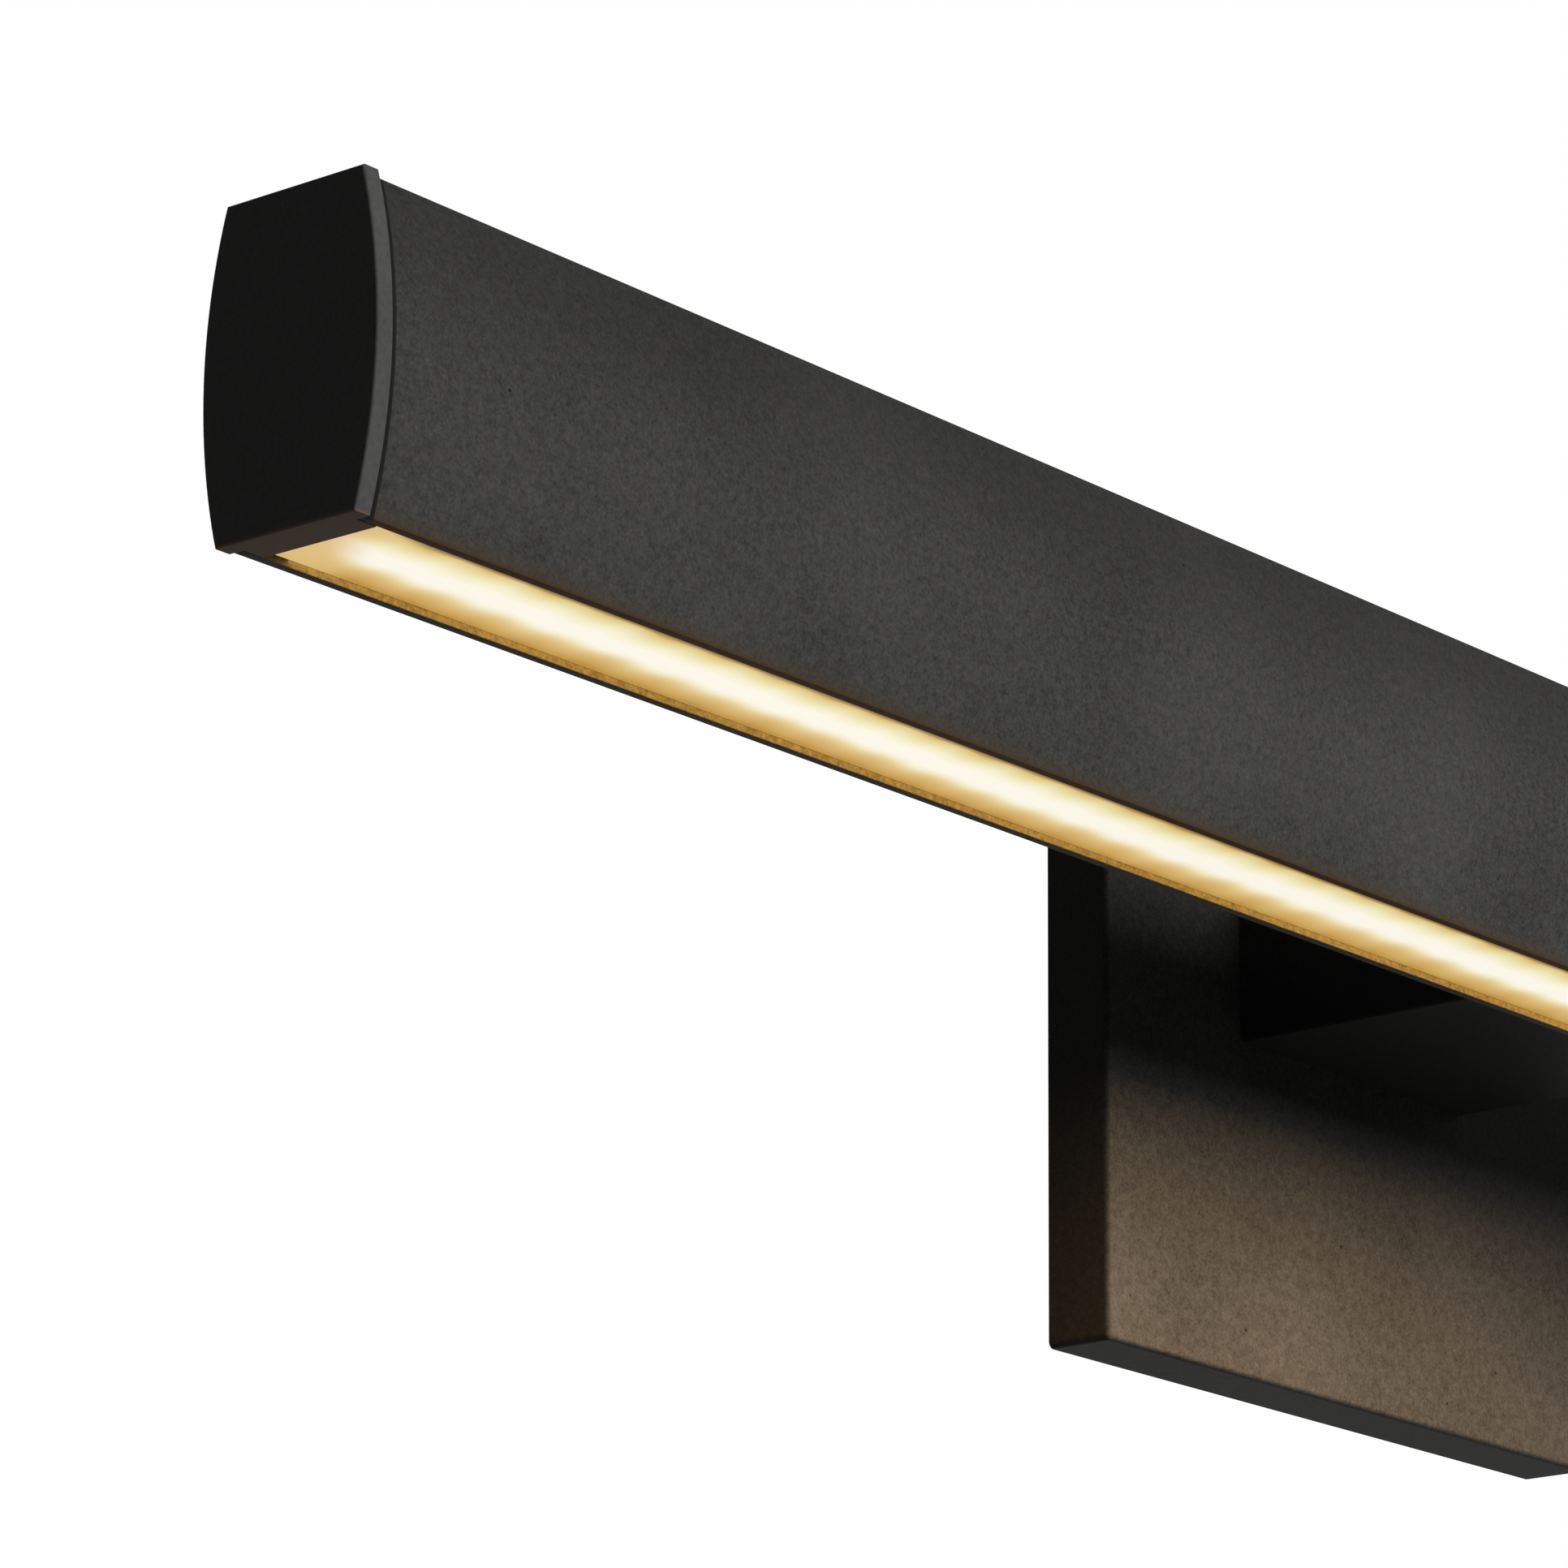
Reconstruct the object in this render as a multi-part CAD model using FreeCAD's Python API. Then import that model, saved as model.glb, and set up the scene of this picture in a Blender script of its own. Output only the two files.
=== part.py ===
# Vanity light bar: a long aluminium barrel with a light-emitting strip in its underside, held off
# the wall by a wide block arm on a square back plate.
#
# Millimetres. The origin is the centre of the back plate's rear, on the wall. +X runs along the
# bar to the right as seen from the room, +Y points into the wall, +Z is up.
import FreeCAD, Part
import math
import os

from FreeCAD import Vector

# ---- driving sizes ------------------------------------------------------------------------
# Bar: an extrusion with flat top and mouth, and bowed front and back faces.
bar_length = 600.0            # over both end caps
bar_height = 40.0
bar_depth = 20.0              # across the flat top
bar_bulge = 2.7               # how far the front and back bow out at mid-height
bar_wall = 1.8
bar_edge_round = 0.3
front_lip = 1.3               # width of the wall's foot in front of the diffuser
back_lip = 1.4                # and behind it
shelf_height = 12.0           # from the bar's underside to the shelf that carries the boards
shelf_thickness = 1.8

# End caps
cap_thickness = 2.5
cap_proud = 0.6               # the cap stands out of the bar by this, all round but below
cap_edge_round = 0.35
cap_tongue = 3.2              # how far the cap's tongue covers the diffuser's end
cap_spigot = 5.5              # how far the spigot reaches into the light chamber
cap_peg_radius = 1.5
cap_peg_length = 9.0

# Diffuser: an opal strip with side flanges that slide in two grooves
diffuser_recess = 0.9         # the strip lies this far above the lips
diffuser_thickness = 1.5
flange_thickness = 1.2
groove_depth = 0.8
groove_rib = 1.5              # rib above each groove

# Light source
board_width = 12.0
board_thickness = 1.0
board_tape_thickness = 0.2
board_end_margin = 9.0        # from the bar's end to the board's end
board_joint = 1.0             # gap between the two boards
led_pitch = 10.0
led_length = 2.8
led_width = 3.5
led_thickness = 0.7
link_length = 5.0             # solder links that bridge the two boards
link_width = 2.4
link_thickness = 0.4
link_offset = 4.0             # from the bar's mid-plane

# Driver: a slim case in the upper chamber, to the right of the arm
driver_start = 46.0           # X of its left end
driver_length = 180.0
driver_width = 14.0
driver_height = 13.5
driver_wall = 1.2
driver_back_gap = 0.5         # to the nut channel's ribs
driver_rail = 1.0             # the board stands on rails of this height
driver_tape_thickness = 0.8
driver_board_thickness = 1.6
transformer_length = 18.0
transformer_width = 11.0
transformer_height = 7.0
transformer_place = 0.5       # share of the driver's length
capacitor_radius = 3.2
capacitor_length = 12.0
capacitor_places = (0.22, 0.34, 0.78)

# Wires
wire_radius = 0.8
wire_hole_radius = 1.1
wire_bend = 3.0
wire_tail = 6.0               # length of wire that lies on the driver's board
wire_drop = 8.0               # how far a wire runs straight down before or after it turns
wire_clear_drop = 5.0         # further drop of the outer wire, to pass above the inner one
input_wire_spacing = 4.0      # between the two wires in the bar, across Y
input_wire_pitch = 2.6        # between the two wires in the arm, along X
output_wire_spacing = 5.6
output_drop = 12.0            # from the driver's right end to where its wires turn down
solder_tail = 0.6

# Slide nuts and the channel for them in the bar's back wall
nut_length = 14.0
nut_height = 12.2
nut_thickness = 3.0
nut_land = 3.0                # wall between the nut and the bar's back at mid-height
channel_rib = 1.2
channel_hook = 1.5
bar_screw_spacing = 27.0      # leaves a screwdriver's way between the arm's bosses

# Arm: a hollow block with a saddle end
arm_reach = 58.3              # from the plate's face to the bar's flat back edges
arm_width = 56.6
arm_height = 21.7
arm_wall = 2.5
arm_saddle_wall = 3.0
arm_edge_round = 0.8
arm_boss_width = 8.0
arm_boss_depth = 14.0
arm_screw_spacing_z = 9.0

# Back plate: an open-backed shell
plate_size = 120.6
plate_depth = 10.5
plate_wall = 2.0
plate_corner_round = 1.0
plate_edge_round = 0.8
plate_rib_thickness = 1.5     # hook rib inside the lower wall
plate_rib_height = 1.5
plate_rib_half_width = 35.0

# Wall bracket: folded sheet with a hook below and a screwed flange above
bracket_thickness = 1.5
bracket_width = 104.0
bracket_gap = 0.6             # between its flanges and the plate's walls
bracket_flange_width = 80.0
bracket_flange_depth = 8.0
hook_clearance = 0.4
bracket_crop = 8.0            # height of the cropped corners beside the flanges
bracket_hole_radius = 20.0
slot_spacing = 79.4           # slot centres, for boxes with screws 70 to 89 apart
slot_length = 14.5
slot_radius = 2.25

# Screws
m4_radius = 2.0
m4_head_radius = 3.8
m4_head_height = 2.4
m4_clearance_radius = 2.25
m3_radius = 1.5
m3_head_radius = 2.8
m3_head_height = 1.8
thread_clearance = 0.06       # between a screw and its thread
bar_screw_length = 10.0
arm_screw_length = 12.0
plate_screw_length = 8.0
plate_screw_spacing = 60.0
recess_width = 0.9            # cross recess in the heads
recess_depth = 1.2
recess_share = 0.55           # recess's half length as a share of the head's radius
crown_share = 0.4             # rounding of a head's crown as a share of its height
socket_radius = 1.0           # hexagon socket in the flat screws

# Grommets
bar_grommet_bore = 3.5
plate_grommet_bore = 4.2
grommet_wall = 1.2
grommet_flange = 1.5
grommet_flange_thickness = 1.2

# Terminal block and earth lead, behind the plate's face
block_width = 20.0
block_height = 12.0
block_depth = 6.2
block_centre_x = -26.0
block_top_z = -22.0
block_pole_spacing = 10.0
block_wire_depth = 4.0
block_screw_radius = 1.4
earth_x = 26.0
earth_z = 26.0                # plate's earth screw; the bracket's lies the same way below
earth_boss_radius = 3.5
earth_boss_height = 3.0
ring_radius = 3.9
ring_thickness = 0.8
ring_barrel_length = 7.0
ring_barrel_width = 3.0
earth_wire_radius = 0.9
earth_screw_grip = 2.6
earth_slack = 3.5             # sideways bow of the earth lead

fit = 0.1                     # sliding clearance between pieces
over = 1.0                    # how far a cutting shape runs past what it cuts

# ---- places worked out from the sizes ------------------------------------------------------
plate_front_y = -plate_depth
plate_inner_y = plate_front_y + plate_wall
plate_half = plate_size / 2
bar_back_y = plate_front_y - arm_reach
bar_front_y = bar_back_y - bar_depth
bar_mid_y = bar_back_y - bar_depth / 2
bar_bottom_z = -bar_height / 2
bar_top_z = bar_height / 2
bar_half = bar_length / 2
profile_half = bar_half - cap_thickness
bow_radius = ((bar_height / 2) ** 2 + bar_bulge ** 2) / (2 * bar_bulge)
bar_back_mid_y = bar_back_y + bar_bulge

mouth_front_y = bar_front_y + front_lip
mouth_back_y = bar_back_y - back_lip
mouth_mid_y = (mouth_front_y + mouth_back_y) / 2
groove_low_z = bar_bottom_z + diffuser_recess + diffuser_thickness
groove_high_z = groove_low_z + flange_thickness + 2 * fit
chamber_low_z = groove_high_z + groove_rib
shelf_low_z = bar_bottom_z + shelf_height
shelf_high_z = shelf_low_z + shelf_thickness
board_top_z = shelf_low_z - board_tape_thickness
board_low_z = board_top_z - board_thickness
board_half = bar_half - board_end_margin

land_y = bar_back_mid_y - nut_land
nut_front_y = land_y - nut_thickness
channel_front_y = nut_front_y - fit - channel_rib
channel_mid_z = shelf_high_z + fit + nut_height / 2    # the shelf is the channel's lower rib
arm_mid_z = channel_mid_z

driver_mid_y = channel_front_y - driver_back_gap - driver_width / 2
driver_low_z = shelf_high_z + driver_tape_thickness
driver_floor_z = driver_low_z + driver_wall
driver_board_low_z = driver_floor_z + driver_rail
driver_board_top_z = driver_board_low_z + driver_board_thickness
driver_lid_z = driver_low_z + driver_height - driver_wall
driver_end = driver_start + driver_length
wire_z = driver_board_top_z + wire_radius + fit / 2

saddle_inner_y = bar_back_mid_y + arm_saddle_wall
bracket_front_y = -bracket_thickness
plate_inner_half = plate_half - plate_wall
flange_top_z = plate_inner_half - bracket_gap
cavity_wire_y = (plate_inner_y + bracket_front_y) / 2
earth_ring_y = plate_inner_y + earth_boss_height      # rear face of the plate's earth boss


# ---- helpers -------------------------------------------------------------------------------
def box(x0, x1, y0, y1, z0, z1):
    return Part.makeBox(x1 - x0, y1 - y0, z1 - z0, Vector(x0, y0, z0))


def rod(radius, start, end):
    start, end = Vector(*start), Vector(*end)
    return Part.makeCylinder(radius, (end - start).Length, start, end - start)


def bow_y(side, z, grow=0.0):
    """Y of the bar's bowed face at height z: side -1 is the front, 1 the back."""
    flat_y = bar_back_y if side > 0 else bar_front_y
    centre = flat_y + side * (bar_bulge - bow_radius)
    return centre + side * math.sqrt((bow_radius + grow) ** 2 - z ** 2)


def bowed_prism(x0, x1, z0, z1, grow=0.0):
    """A length of the bar's section between two heights, with its bowed faces moved out by grow."""
    middle = (z0 + z1) / 2

    def edge(side, first, last):
        points = [Vector(x0, bow_y(side, z, grow), z) for z in (first, middle, last)]
        return Part.Arc(*points).toShape()

    front, back = edge(-1, z0, z1), edge(1, z1, z0)
    top = Part.makeLine(front.lastVertex(True).Point, back.firstVertex(True).Point)
    bottom = Part.makeLine(back.lastVertex(True).Point, front.firstVertex(True).Point)
    wire = Part.Wire([front, top, back, bottom])
    return Part.Face(wire).extrude(Vector(x1 - x0, 0, 0))


def fuse(first, *others):
    return first.fuse(list(others)).removeSplitter()


def cut(shape, *tools):
    return shape.cut(list(tools))


def straight_edges(shape, direction, test):
    """Straight edges of a shape along a direction whose centre passes a test."""
    found = []
    for edge in shape.Edges:
        if not isinstance(edge.Curve, Part.Line):
            continue
        along = edge.Curve.Direction
        if abs(abs(along.dot(direction)) - 1) < 1e-6 and test(edge.CenterOfMass):
            found.append(edge)
    return found


def wire_tube(points, bend, radius):
    """A round wire along straight runs joined by tangent arcs of one bend radius."""
    points = [Vector(*point) for point in points]
    edges = []
    start = points[0]
    for before, corner, after in zip(points, points[1:], points[2:]):
        into = (corner - before).normalize()
        out = (after - corner).normalize()
        turn = into.getAngle(out)
        trim = bend * math.tan(turn / 2)
        first, last = corner - into * trim, corner + out * trim
        inward = (out - into).normalize()
        middle = corner + inward * (bend / math.cos(turn / 2) - bend)
        edges.append(Part.makeLine(start, first))
        edges.append(Part.Arc(first, middle, last).toShape())
        start = last
    edges.append(Part.makeLine(start, points[-1]))
    section = Part.Wire([Part.makeCircle(radius, points[0], points[1] - points[0])])
    return Part.Wire(edges).makePipeShell([section], True, False)


def pan_screw(seat, direction, length, radius, head_radius, head_height):
    """A cross-recessed screw: seat is under the head, direction the way the shank points."""
    seat, way = Vector(*seat), Vector(*direction)
    head = Part.makeCylinder(head_radius, head_height, seat, way * -1)
    crown = [edge for edge in head.Edges if isinstance(edge.Curve, Part.Circle)
             and (edge.Curve.Center - seat).Length > head_height / 2]
    head = head.makeFillet(head_height * crown_share, crown)
    shank = Part.makeCylinder(radius, length, seat, way)
    screw = fuse(head, shank)
    top = seat - way * head_height
    reach = head_radius * recess_share
    side = Vector(0, 0, 1) if abs(way.z) < 0.5 else Vector(1, 0, 0)
    for across in (side, way.cross(side)):
        along = way.cross(across)
        corner = top - across * reach - along * recess_width / 2
        slot = Part.makePolygon([corner,
                                 corner + across * 2 * reach,
                                 corner + across * 2 * reach + along * recess_width,
                                 corner + along * recess_width,
                                 corner])
        screw = cut(screw, Part.Face(Part.Wire(slot)).extrude(way * recess_depth))
    return screw


def save(name, *solids):
    shape = solids[0] if len(solids) == 1 else Part.makeCompound(list(solids))
    shape.exportStep(os.path.join("parts", name + ".step"))


# ---- bar housing ---------------------------------------------------------------------------
def peg_centres():
    """Centres of the two round ports in the top corners that take the caps' pegs."""
    port_radius = cap_peg_radius + fit + bar_wall / 2
    z = bar_top_z - bar_wall - port_radius + bar_wall / 4
    return [(bow_y(side, z, -bar_wall) - side * (port_radius - bar_wall / 4), z)
            for side in (-1, 1)]


def bar_housing():
    outer = bowed_prism(-profile_half, profile_half, bar_bottom_z, bar_top_z)
    corners = straight_edges(outer, Vector(1, 0, 0), lambda centre: centre.z > 0)
    outer = outer.makeFillet(bar_edge_round, corners)
    reach = profile_half + over
    driver_chamber = bowed_prism(-reach, reach, shelf_high_z, bar_top_z - bar_wall, -bar_wall)
    light_chamber = bowed_prism(-reach, reach, chamber_low_z, shelf_low_z, -bar_wall)
    mouth = box(-reach, reach, mouth_front_y, mouth_back_y, bar_bottom_z - over,
                chamber_low_z + fit)
    grooves = box(-reach, reach, mouth_front_y - groove_depth, mouth_back_y + groove_depth,
                  groove_low_z, groove_high_z)

    # Additions inside the driver chamber: the nut channel on the back wall and the peg ports.
    root_y = bar_back_mid_y - bar_wall / 2
    rib_low_z = channel_mid_z + nut_height / 2 + fit
    rib_high_z = rib_low_z + channel_rib
    hook_back_y = channel_front_y + channel_rib
    land = box(-profile_half, profile_half, land_y, root_y, shelf_low_z, rib_high_z)
    upper_rib = box(-profile_half, profile_half, channel_front_y, root_y, rib_low_z, rib_high_z)
    upper_hook = box(-profile_half, profile_half, channel_front_y, hook_back_y,
                     rib_low_z - channel_hook, rib_high_z)
    # The shelf is the channel's lower rib, so only a hook stands up from it.
    lower_hook = box(-profile_half, profile_half, channel_front_y, hook_back_y,
                     shelf_low_z, shelf_high_z + channel_hook)
    additions = [land, upper_rib, upper_hook, lower_hook]
    bores = []
    for y, z in peg_centres():
        additions.append(rod(cap_peg_radius + fit + bar_wall / 2, (-profile_half, y, z),
                             (profile_half, y, z)))
        bores.append(rod(cap_peg_radius + fit, (-reach, y, z), (reach, y, z)))

    housing = cut(outer, driver_chamber)
    inside = bowed_prism(-profile_half, profile_half, shelf_low_z, bar_top_z, -bar_wall / 2)
    housing = fuse(housing, *[piece.common(inside) for piece in additions])
    housing = cut(housing, light_chamber, mouth, grooves, *bores)

    # Holes: the wire hole and two screw holes in the back wall, two wire holes in the shelf.
    holes = bar_back_holes(land_y - over, plate_front_y)
    return cut(housing, *holes, *output_wire_holes(shelf_low_z, shelf_high_z))


def bar_screw_xs():
    return [side * bar_screw_spacing / 2 for side in (-1, 1)]


def bar_back_holes(y0, y1):
    """The wire hole and two screw holes that pass through the bar's back wall and the saddle."""
    holes = [rod(bar_grommet_bore + grommet_wall + fit, (0, y0, channel_mid_z),
                 (0, y1, channel_mid_z))]
    for x in bar_screw_xs():
        holes.append(rod(m4_clearance_radius, (x, y0, channel_mid_z), (x, y1, channel_mid_z)))
    return holes


# ---- end caps ------------------------------------------------------------------------------
def right_end_cap():
    face = bowed_prism(profile_half, bar_half, bar_bottom_z, bar_top_z + cap_proud, cap_proud)
    rim = [edge for edge in face.Edges if abs(edge.CenterOfMass.x - bar_half) < 1e-6]
    face = face.makeFillet(cap_edge_round, rim)
    overlap = profile_half + cap_thickness / 2
    tongue = box(profile_half - cap_tongue, overlap, mouth_front_y + fit, mouth_back_y - fit,
                 bar_bottom_z, chamber_low_z + 2 * fit)
    spigot = bowed_prism(profile_half - cap_spigot, overlap, chamber_low_z + fit,
                         shelf_low_z - fit, -bar_wall - fit)
    pegs = [rod(cap_peg_radius, (profile_half - cap_peg_length, y, z), (overlap, y, z))
            for y, z in peg_centres()]
    return fuse(face, tongue, spigot, *pegs)


def mirrored(shape):
    return shape.mirror(Vector(0, 0, 0), Vector(1, 0, 0))


# ---- diffuser ------------------------------------------------------------------------------
def diffuser():
    half = profile_half - cap_tongue - fit
    lens = box(-half, half, mouth_front_y + fit, mouth_back_y - fit,
               bar_bottom_z + diffuser_recess, groove_low_z + fit)
    flange = box(-half, half, mouth_front_y - groove_depth + fit, mouth_back_y + groove_depth - fit,
                 groove_low_z + fit, groove_low_z + fit + flange_thickness)
    return fuse(lens, flange)


# ---- light source --------------------------------------------------------------------------
def led_board(side):
    inner, outer = board_joint / 2, board_half
    x0, x1 = (inner, outer) if side > 0 else (-outer, -inner)
    board = box(x0, x1, bar_mid_y - board_width / 2, bar_mid_y + board_width / 2,
                board_low_z, board_top_z)
    return cut(board, *output_wire_holes(board_low_z, board_top_z))


def thermal_tape():
    tape = box(-board_half, board_half, bar_mid_y - board_width / 2, bar_mid_y + board_width / 2,
               board_top_z, shelf_low_z)
    return cut(tape, *output_wire_holes(board_top_z, shelf_low_z))


def output_wire_ys():
    return [bar_mid_y + side * output_wire_spacing / 2 for side in (-1, 1)]


def output_wire_holes(z0, z1):
    x = driver_end + output_drop
    return [rod(wire_hole_radius, (x, y, z0 - over), (x, y, z1 + over))
            for y in output_wire_ys()]


def led_chips():
    """Packages in one row under the boards, at an even pitch about the bar's middle."""
    count = int((board_half - led_length / 2) / led_pitch + 0.5)
    centres = [side * (index + 0.5) * led_pitch for side in (-1, 1) for index in range(count)]
    return [box(x - led_length / 2, x + led_length / 2,
                bar_mid_y - led_width / 2, bar_mid_y + led_width / 2,
                board_low_z - led_thickness, board_low_z)
            for x in sorted(centres)]


def board_links():
    return [box(-link_length / 2, link_length / 2,
                bar_mid_y + side * link_offset - link_width / 2,
                bar_mid_y + side * link_offset + link_width / 2,
                board_low_z - link_thickness, board_low_z)
            for side in (-1, 1)]


# ---- driver --------------------------------------------------------------------------------
def driver_case():
    half = driver_width / 2
    shell = box(driver_start, driver_end, driver_mid_y - half, driver_mid_y + half,
                driver_low_z, driver_lid_z)
    room = box(driver_start + driver_wall, driver_end - driver_wall,
               driver_mid_y - half + driver_wall, driver_mid_y + half - driver_wall,
               driver_floor_z, driver_lid_z + over)
    case = cut(shell, room)
    for side in (-1, 1):
        y = driver_mid_y + side * (half - driver_wall)
        y0, y1 = sorted((y, y - side * driver_rail))
        case = fuse(case, box(driver_start + driver_wall, driver_end - driver_wall, y0, y1,
                              driver_floor_z, driver_board_low_z))
    holes = []
    for y in input_wire_ys():
        holes.append(rod(wire_hole_radius, (driver_start - over, y, wire_z),
                         (driver_start + driver_wall + over, y, wire_z)))
    for y in output_wire_ys():
        holes.append(rod(wire_hole_radius, (driver_end - driver_wall - over, y, wire_z),
                         (driver_end + over, y, wire_z)))
    return cut(case, *holes)


def driver_lid():
    half = driver_width / 2
    lid = box(driver_start, driver_end, driver_mid_y - half, driver_mid_y + half,
              driver_lid_z, driver_lid_z + driver_wall)
    inset = driver_wall + fit
    plug = box(driver_start + inset, driver_end - inset,
               driver_mid_y - half + inset, driver_mid_y + half - inset,
               driver_lid_z - driver_wall / 2, driver_lid_z)
    return fuse(lid, plug)


def driver_board():
    half = driver_width / 2 - driver_wall - fit
    return box(driver_start + driver_wall + fit, driver_end - driver_wall - fit,
               driver_mid_y - half, driver_mid_y + half, driver_board_low_z, driver_board_top_z)


def driver_transformer():
    x = driver_start + driver_length * transformer_place
    half_length, half_width = transformer_length / 2, transformer_width / 2
    core = box(x - half_length, x + half_length, driver_mid_y - half_width, driver_mid_y + half_width,
               driver_board_top_z, driver_board_top_z + transformer_height)
    window = transformer_length / 4
    waist = [box(x - window, x + window, driver_mid_y + side * half_width - over,
                 driver_mid_y + side * half_width + over, driver_board_top_z + over,
                 driver_board_top_z + transformer_height - over) for side in (-1, 1)]
    return cut(core, *waist)


def driver_capacitors():
    z = driver_board_top_z + capacitor_radius + fit / 2
    cans = []
    for place in capacitor_places:
        x = driver_start + driver_length * place
        cans.append(rod(capacitor_radius, (x, driver_mid_y, z), (x + capacitor_length, driver_mid_y, z)))
    return cans


def driver_tape():
    half = driver_width / 2 - driver_wall
    return box(driver_start + driver_wall, driver_end - driver_wall,
               driver_mid_y - half, driver_mid_y + half, shelf_high_z, driver_low_z)


# ---- wires ---------------------------------------------------------------------------------
def input_wire_ys():
    return [driver_mid_y + side * input_wire_spacing / 2 for side in (-1, 1)]


def pole_x(side):
    return block_centre_x + side * block_pole_spacing / 2


def input_wires():
    """From the driver's board, out through the arm, to the terminal block behind the plate."""
    start_x = driver_start + driver_wall + wire_tail
    front_y, rear_y = input_wire_ys()
    near_x, far_x = input_wire_pitch / 2, -input_wire_pitch / 2
    block_entry_z = block_top_z - block_wire_depth
    rear_route = [(start_x, rear_y, wire_z),
                  (near_x, rear_y, wire_z),
                  (near_x, cavity_wire_y, wire_z),
                  (near_x, cavity_wire_y, wire_z - wire_drop),
                  (pole_x(1), cavity_wire_y, block_top_z + wire_drop),
                  (pole_x(1), cavity_wire_y, block_entry_z)]
    front_route = [(start_x, front_y, wire_z),
                   (far_x, front_y, wire_z),
                   (far_x, cavity_wire_y, wire_z),
                   (pole_x(-1), cavity_wire_y, block_top_z + wire_drop + wire_clear_drop),
                   (pole_x(-1), cavity_wire_y, block_entry_z)]
    return [wire_tube(route, wire_bend, wire_radius) for route in (rear_route, front_route)]


def output_wires():
    """From the driver's board along the shelf and down through it to the light board's pads."""
    start_x = driver_end - driver_wall - wire_tail
    turn_x = driver_end + output_drop
    return [wire_tube([(start_x, y, wire_z), (turn_x, y, wire_z),
                       (turn_x, y, board_low_z - solder_tail)], wire_bend, wire_radius)
            for y in output_wire_ys()]


# ---- arm and its fixings -------------------------------------------------------------------
def arm():
    half_width = arm_width / 2
    low_z, high_z = arm_mid_z - arm_height / 2, arm_mid_z + arm_height / 2
    front_y = min(bow_y(1, low_z), bow_y(1, high_z)) - arm_wall
    block = box(-half_width, half_width, front_y, plate_front_y, low_z, high_z)
    long_edges = straight_edges(block, Vector(0, 1, 0), lambda centre: True)
    block = block.makeFillet(arm_edge_round, long_edges)
    saddle = bowed_prism(-half_width - over, half_width + over, bar_bottom_z, bar_top_z)
    hollow = box(-half_width + arm_wall, half_width - arm_wall, saddle_inner_y,
                 plate_front_y + over,
                 low_z + arm_wall, high_z - arm_wall)
    body = cut(block, saddle, hollow)
    tools = bar_back_holes(bar_back_y, saddle_inner_y + over)
    for side in (-1, 1):
        outer_x = side * (half_width - arm_wall / 2)
        inner_x = side * (half_width - arm_wall - arm_boss_width)
        x0, x1 = sorted((outer_x, inner_x))
        body = fuse(body, box(x0, x1, plate_front_y - arm_boss_depth, plate_front_y,
                              low_z + arm_wall / 2, high_z - arm_wall / 2))
    for x, z in arm_screw_places():
        tools.append(rod(m4_radius + thread_clearance, (x, plate_front_y - arm_boss_depth, z),
                         (x, plate_front_y + over, z)))
    return cut(body, *tools)


def arm_screw_places():
    x = arm_width / 2 - arm_wall - arm_boss_width / 2
    return [(x_side * x, arm_mid_z + z_side * arm_screw_spacing_z / 2)
            for x_side in (-1, 1) for z_side in (-1, 1)]


def slide_nuts():
    nuts = []
    for x in bar_screw_xs():
        nut = box(x - nut_length / 2, x + nut_length / 2, nut_front_y, land_y,
                  channel_mid_z - nut_height / 2, channel_mid_z + nut_height / 2)
        hole = rod(m4_radius + thread_clearance, (x, nut_front_y - over, channel_mid_z),
                   (x, land_y + over, channel_mid_z))
        nuts.append(cut(nut, hole))
    return nuts


def bar_screws():
    return [pan_screw((x, saddle_inner_y, channel_mid_z), (0, -1, 0), bar_screw_length,
                      m4_radius, m4_head_radius, m4_head_height) for x in bar_screw_xs()]


def arm_screws():
    return [pan_screw((x, plate_inner_y, z), (0, -1, 0), arm_screw_length, m4_radius,
                      m4_head_radius, m4_head_height) for x, z in arm_screw_places()]


def grommet(y0, y1, z, bore):
    """A rubber bush in a hole through the walls between y0 and y1, with a flange on each side."""
    front_y = y0 - grommet_flange_thickness
    rear_y = y1 + grommet_flange_thickness
    flange_radius = bore + grommet_wall + grommet_flange
    bush = fuse(rod(bore + grommet_wall, (0, front_y, z), (0, rear_y, z)),
                rod(flange_radius, (0, front_y, z), (0, y0, z)),
                rod(flange_radius, (0, y1, z), (0, rear_y, z)))
    return cut(bush, rod(bore, (0, front_y - over, z), (0, rear_y + over, z)))


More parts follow.
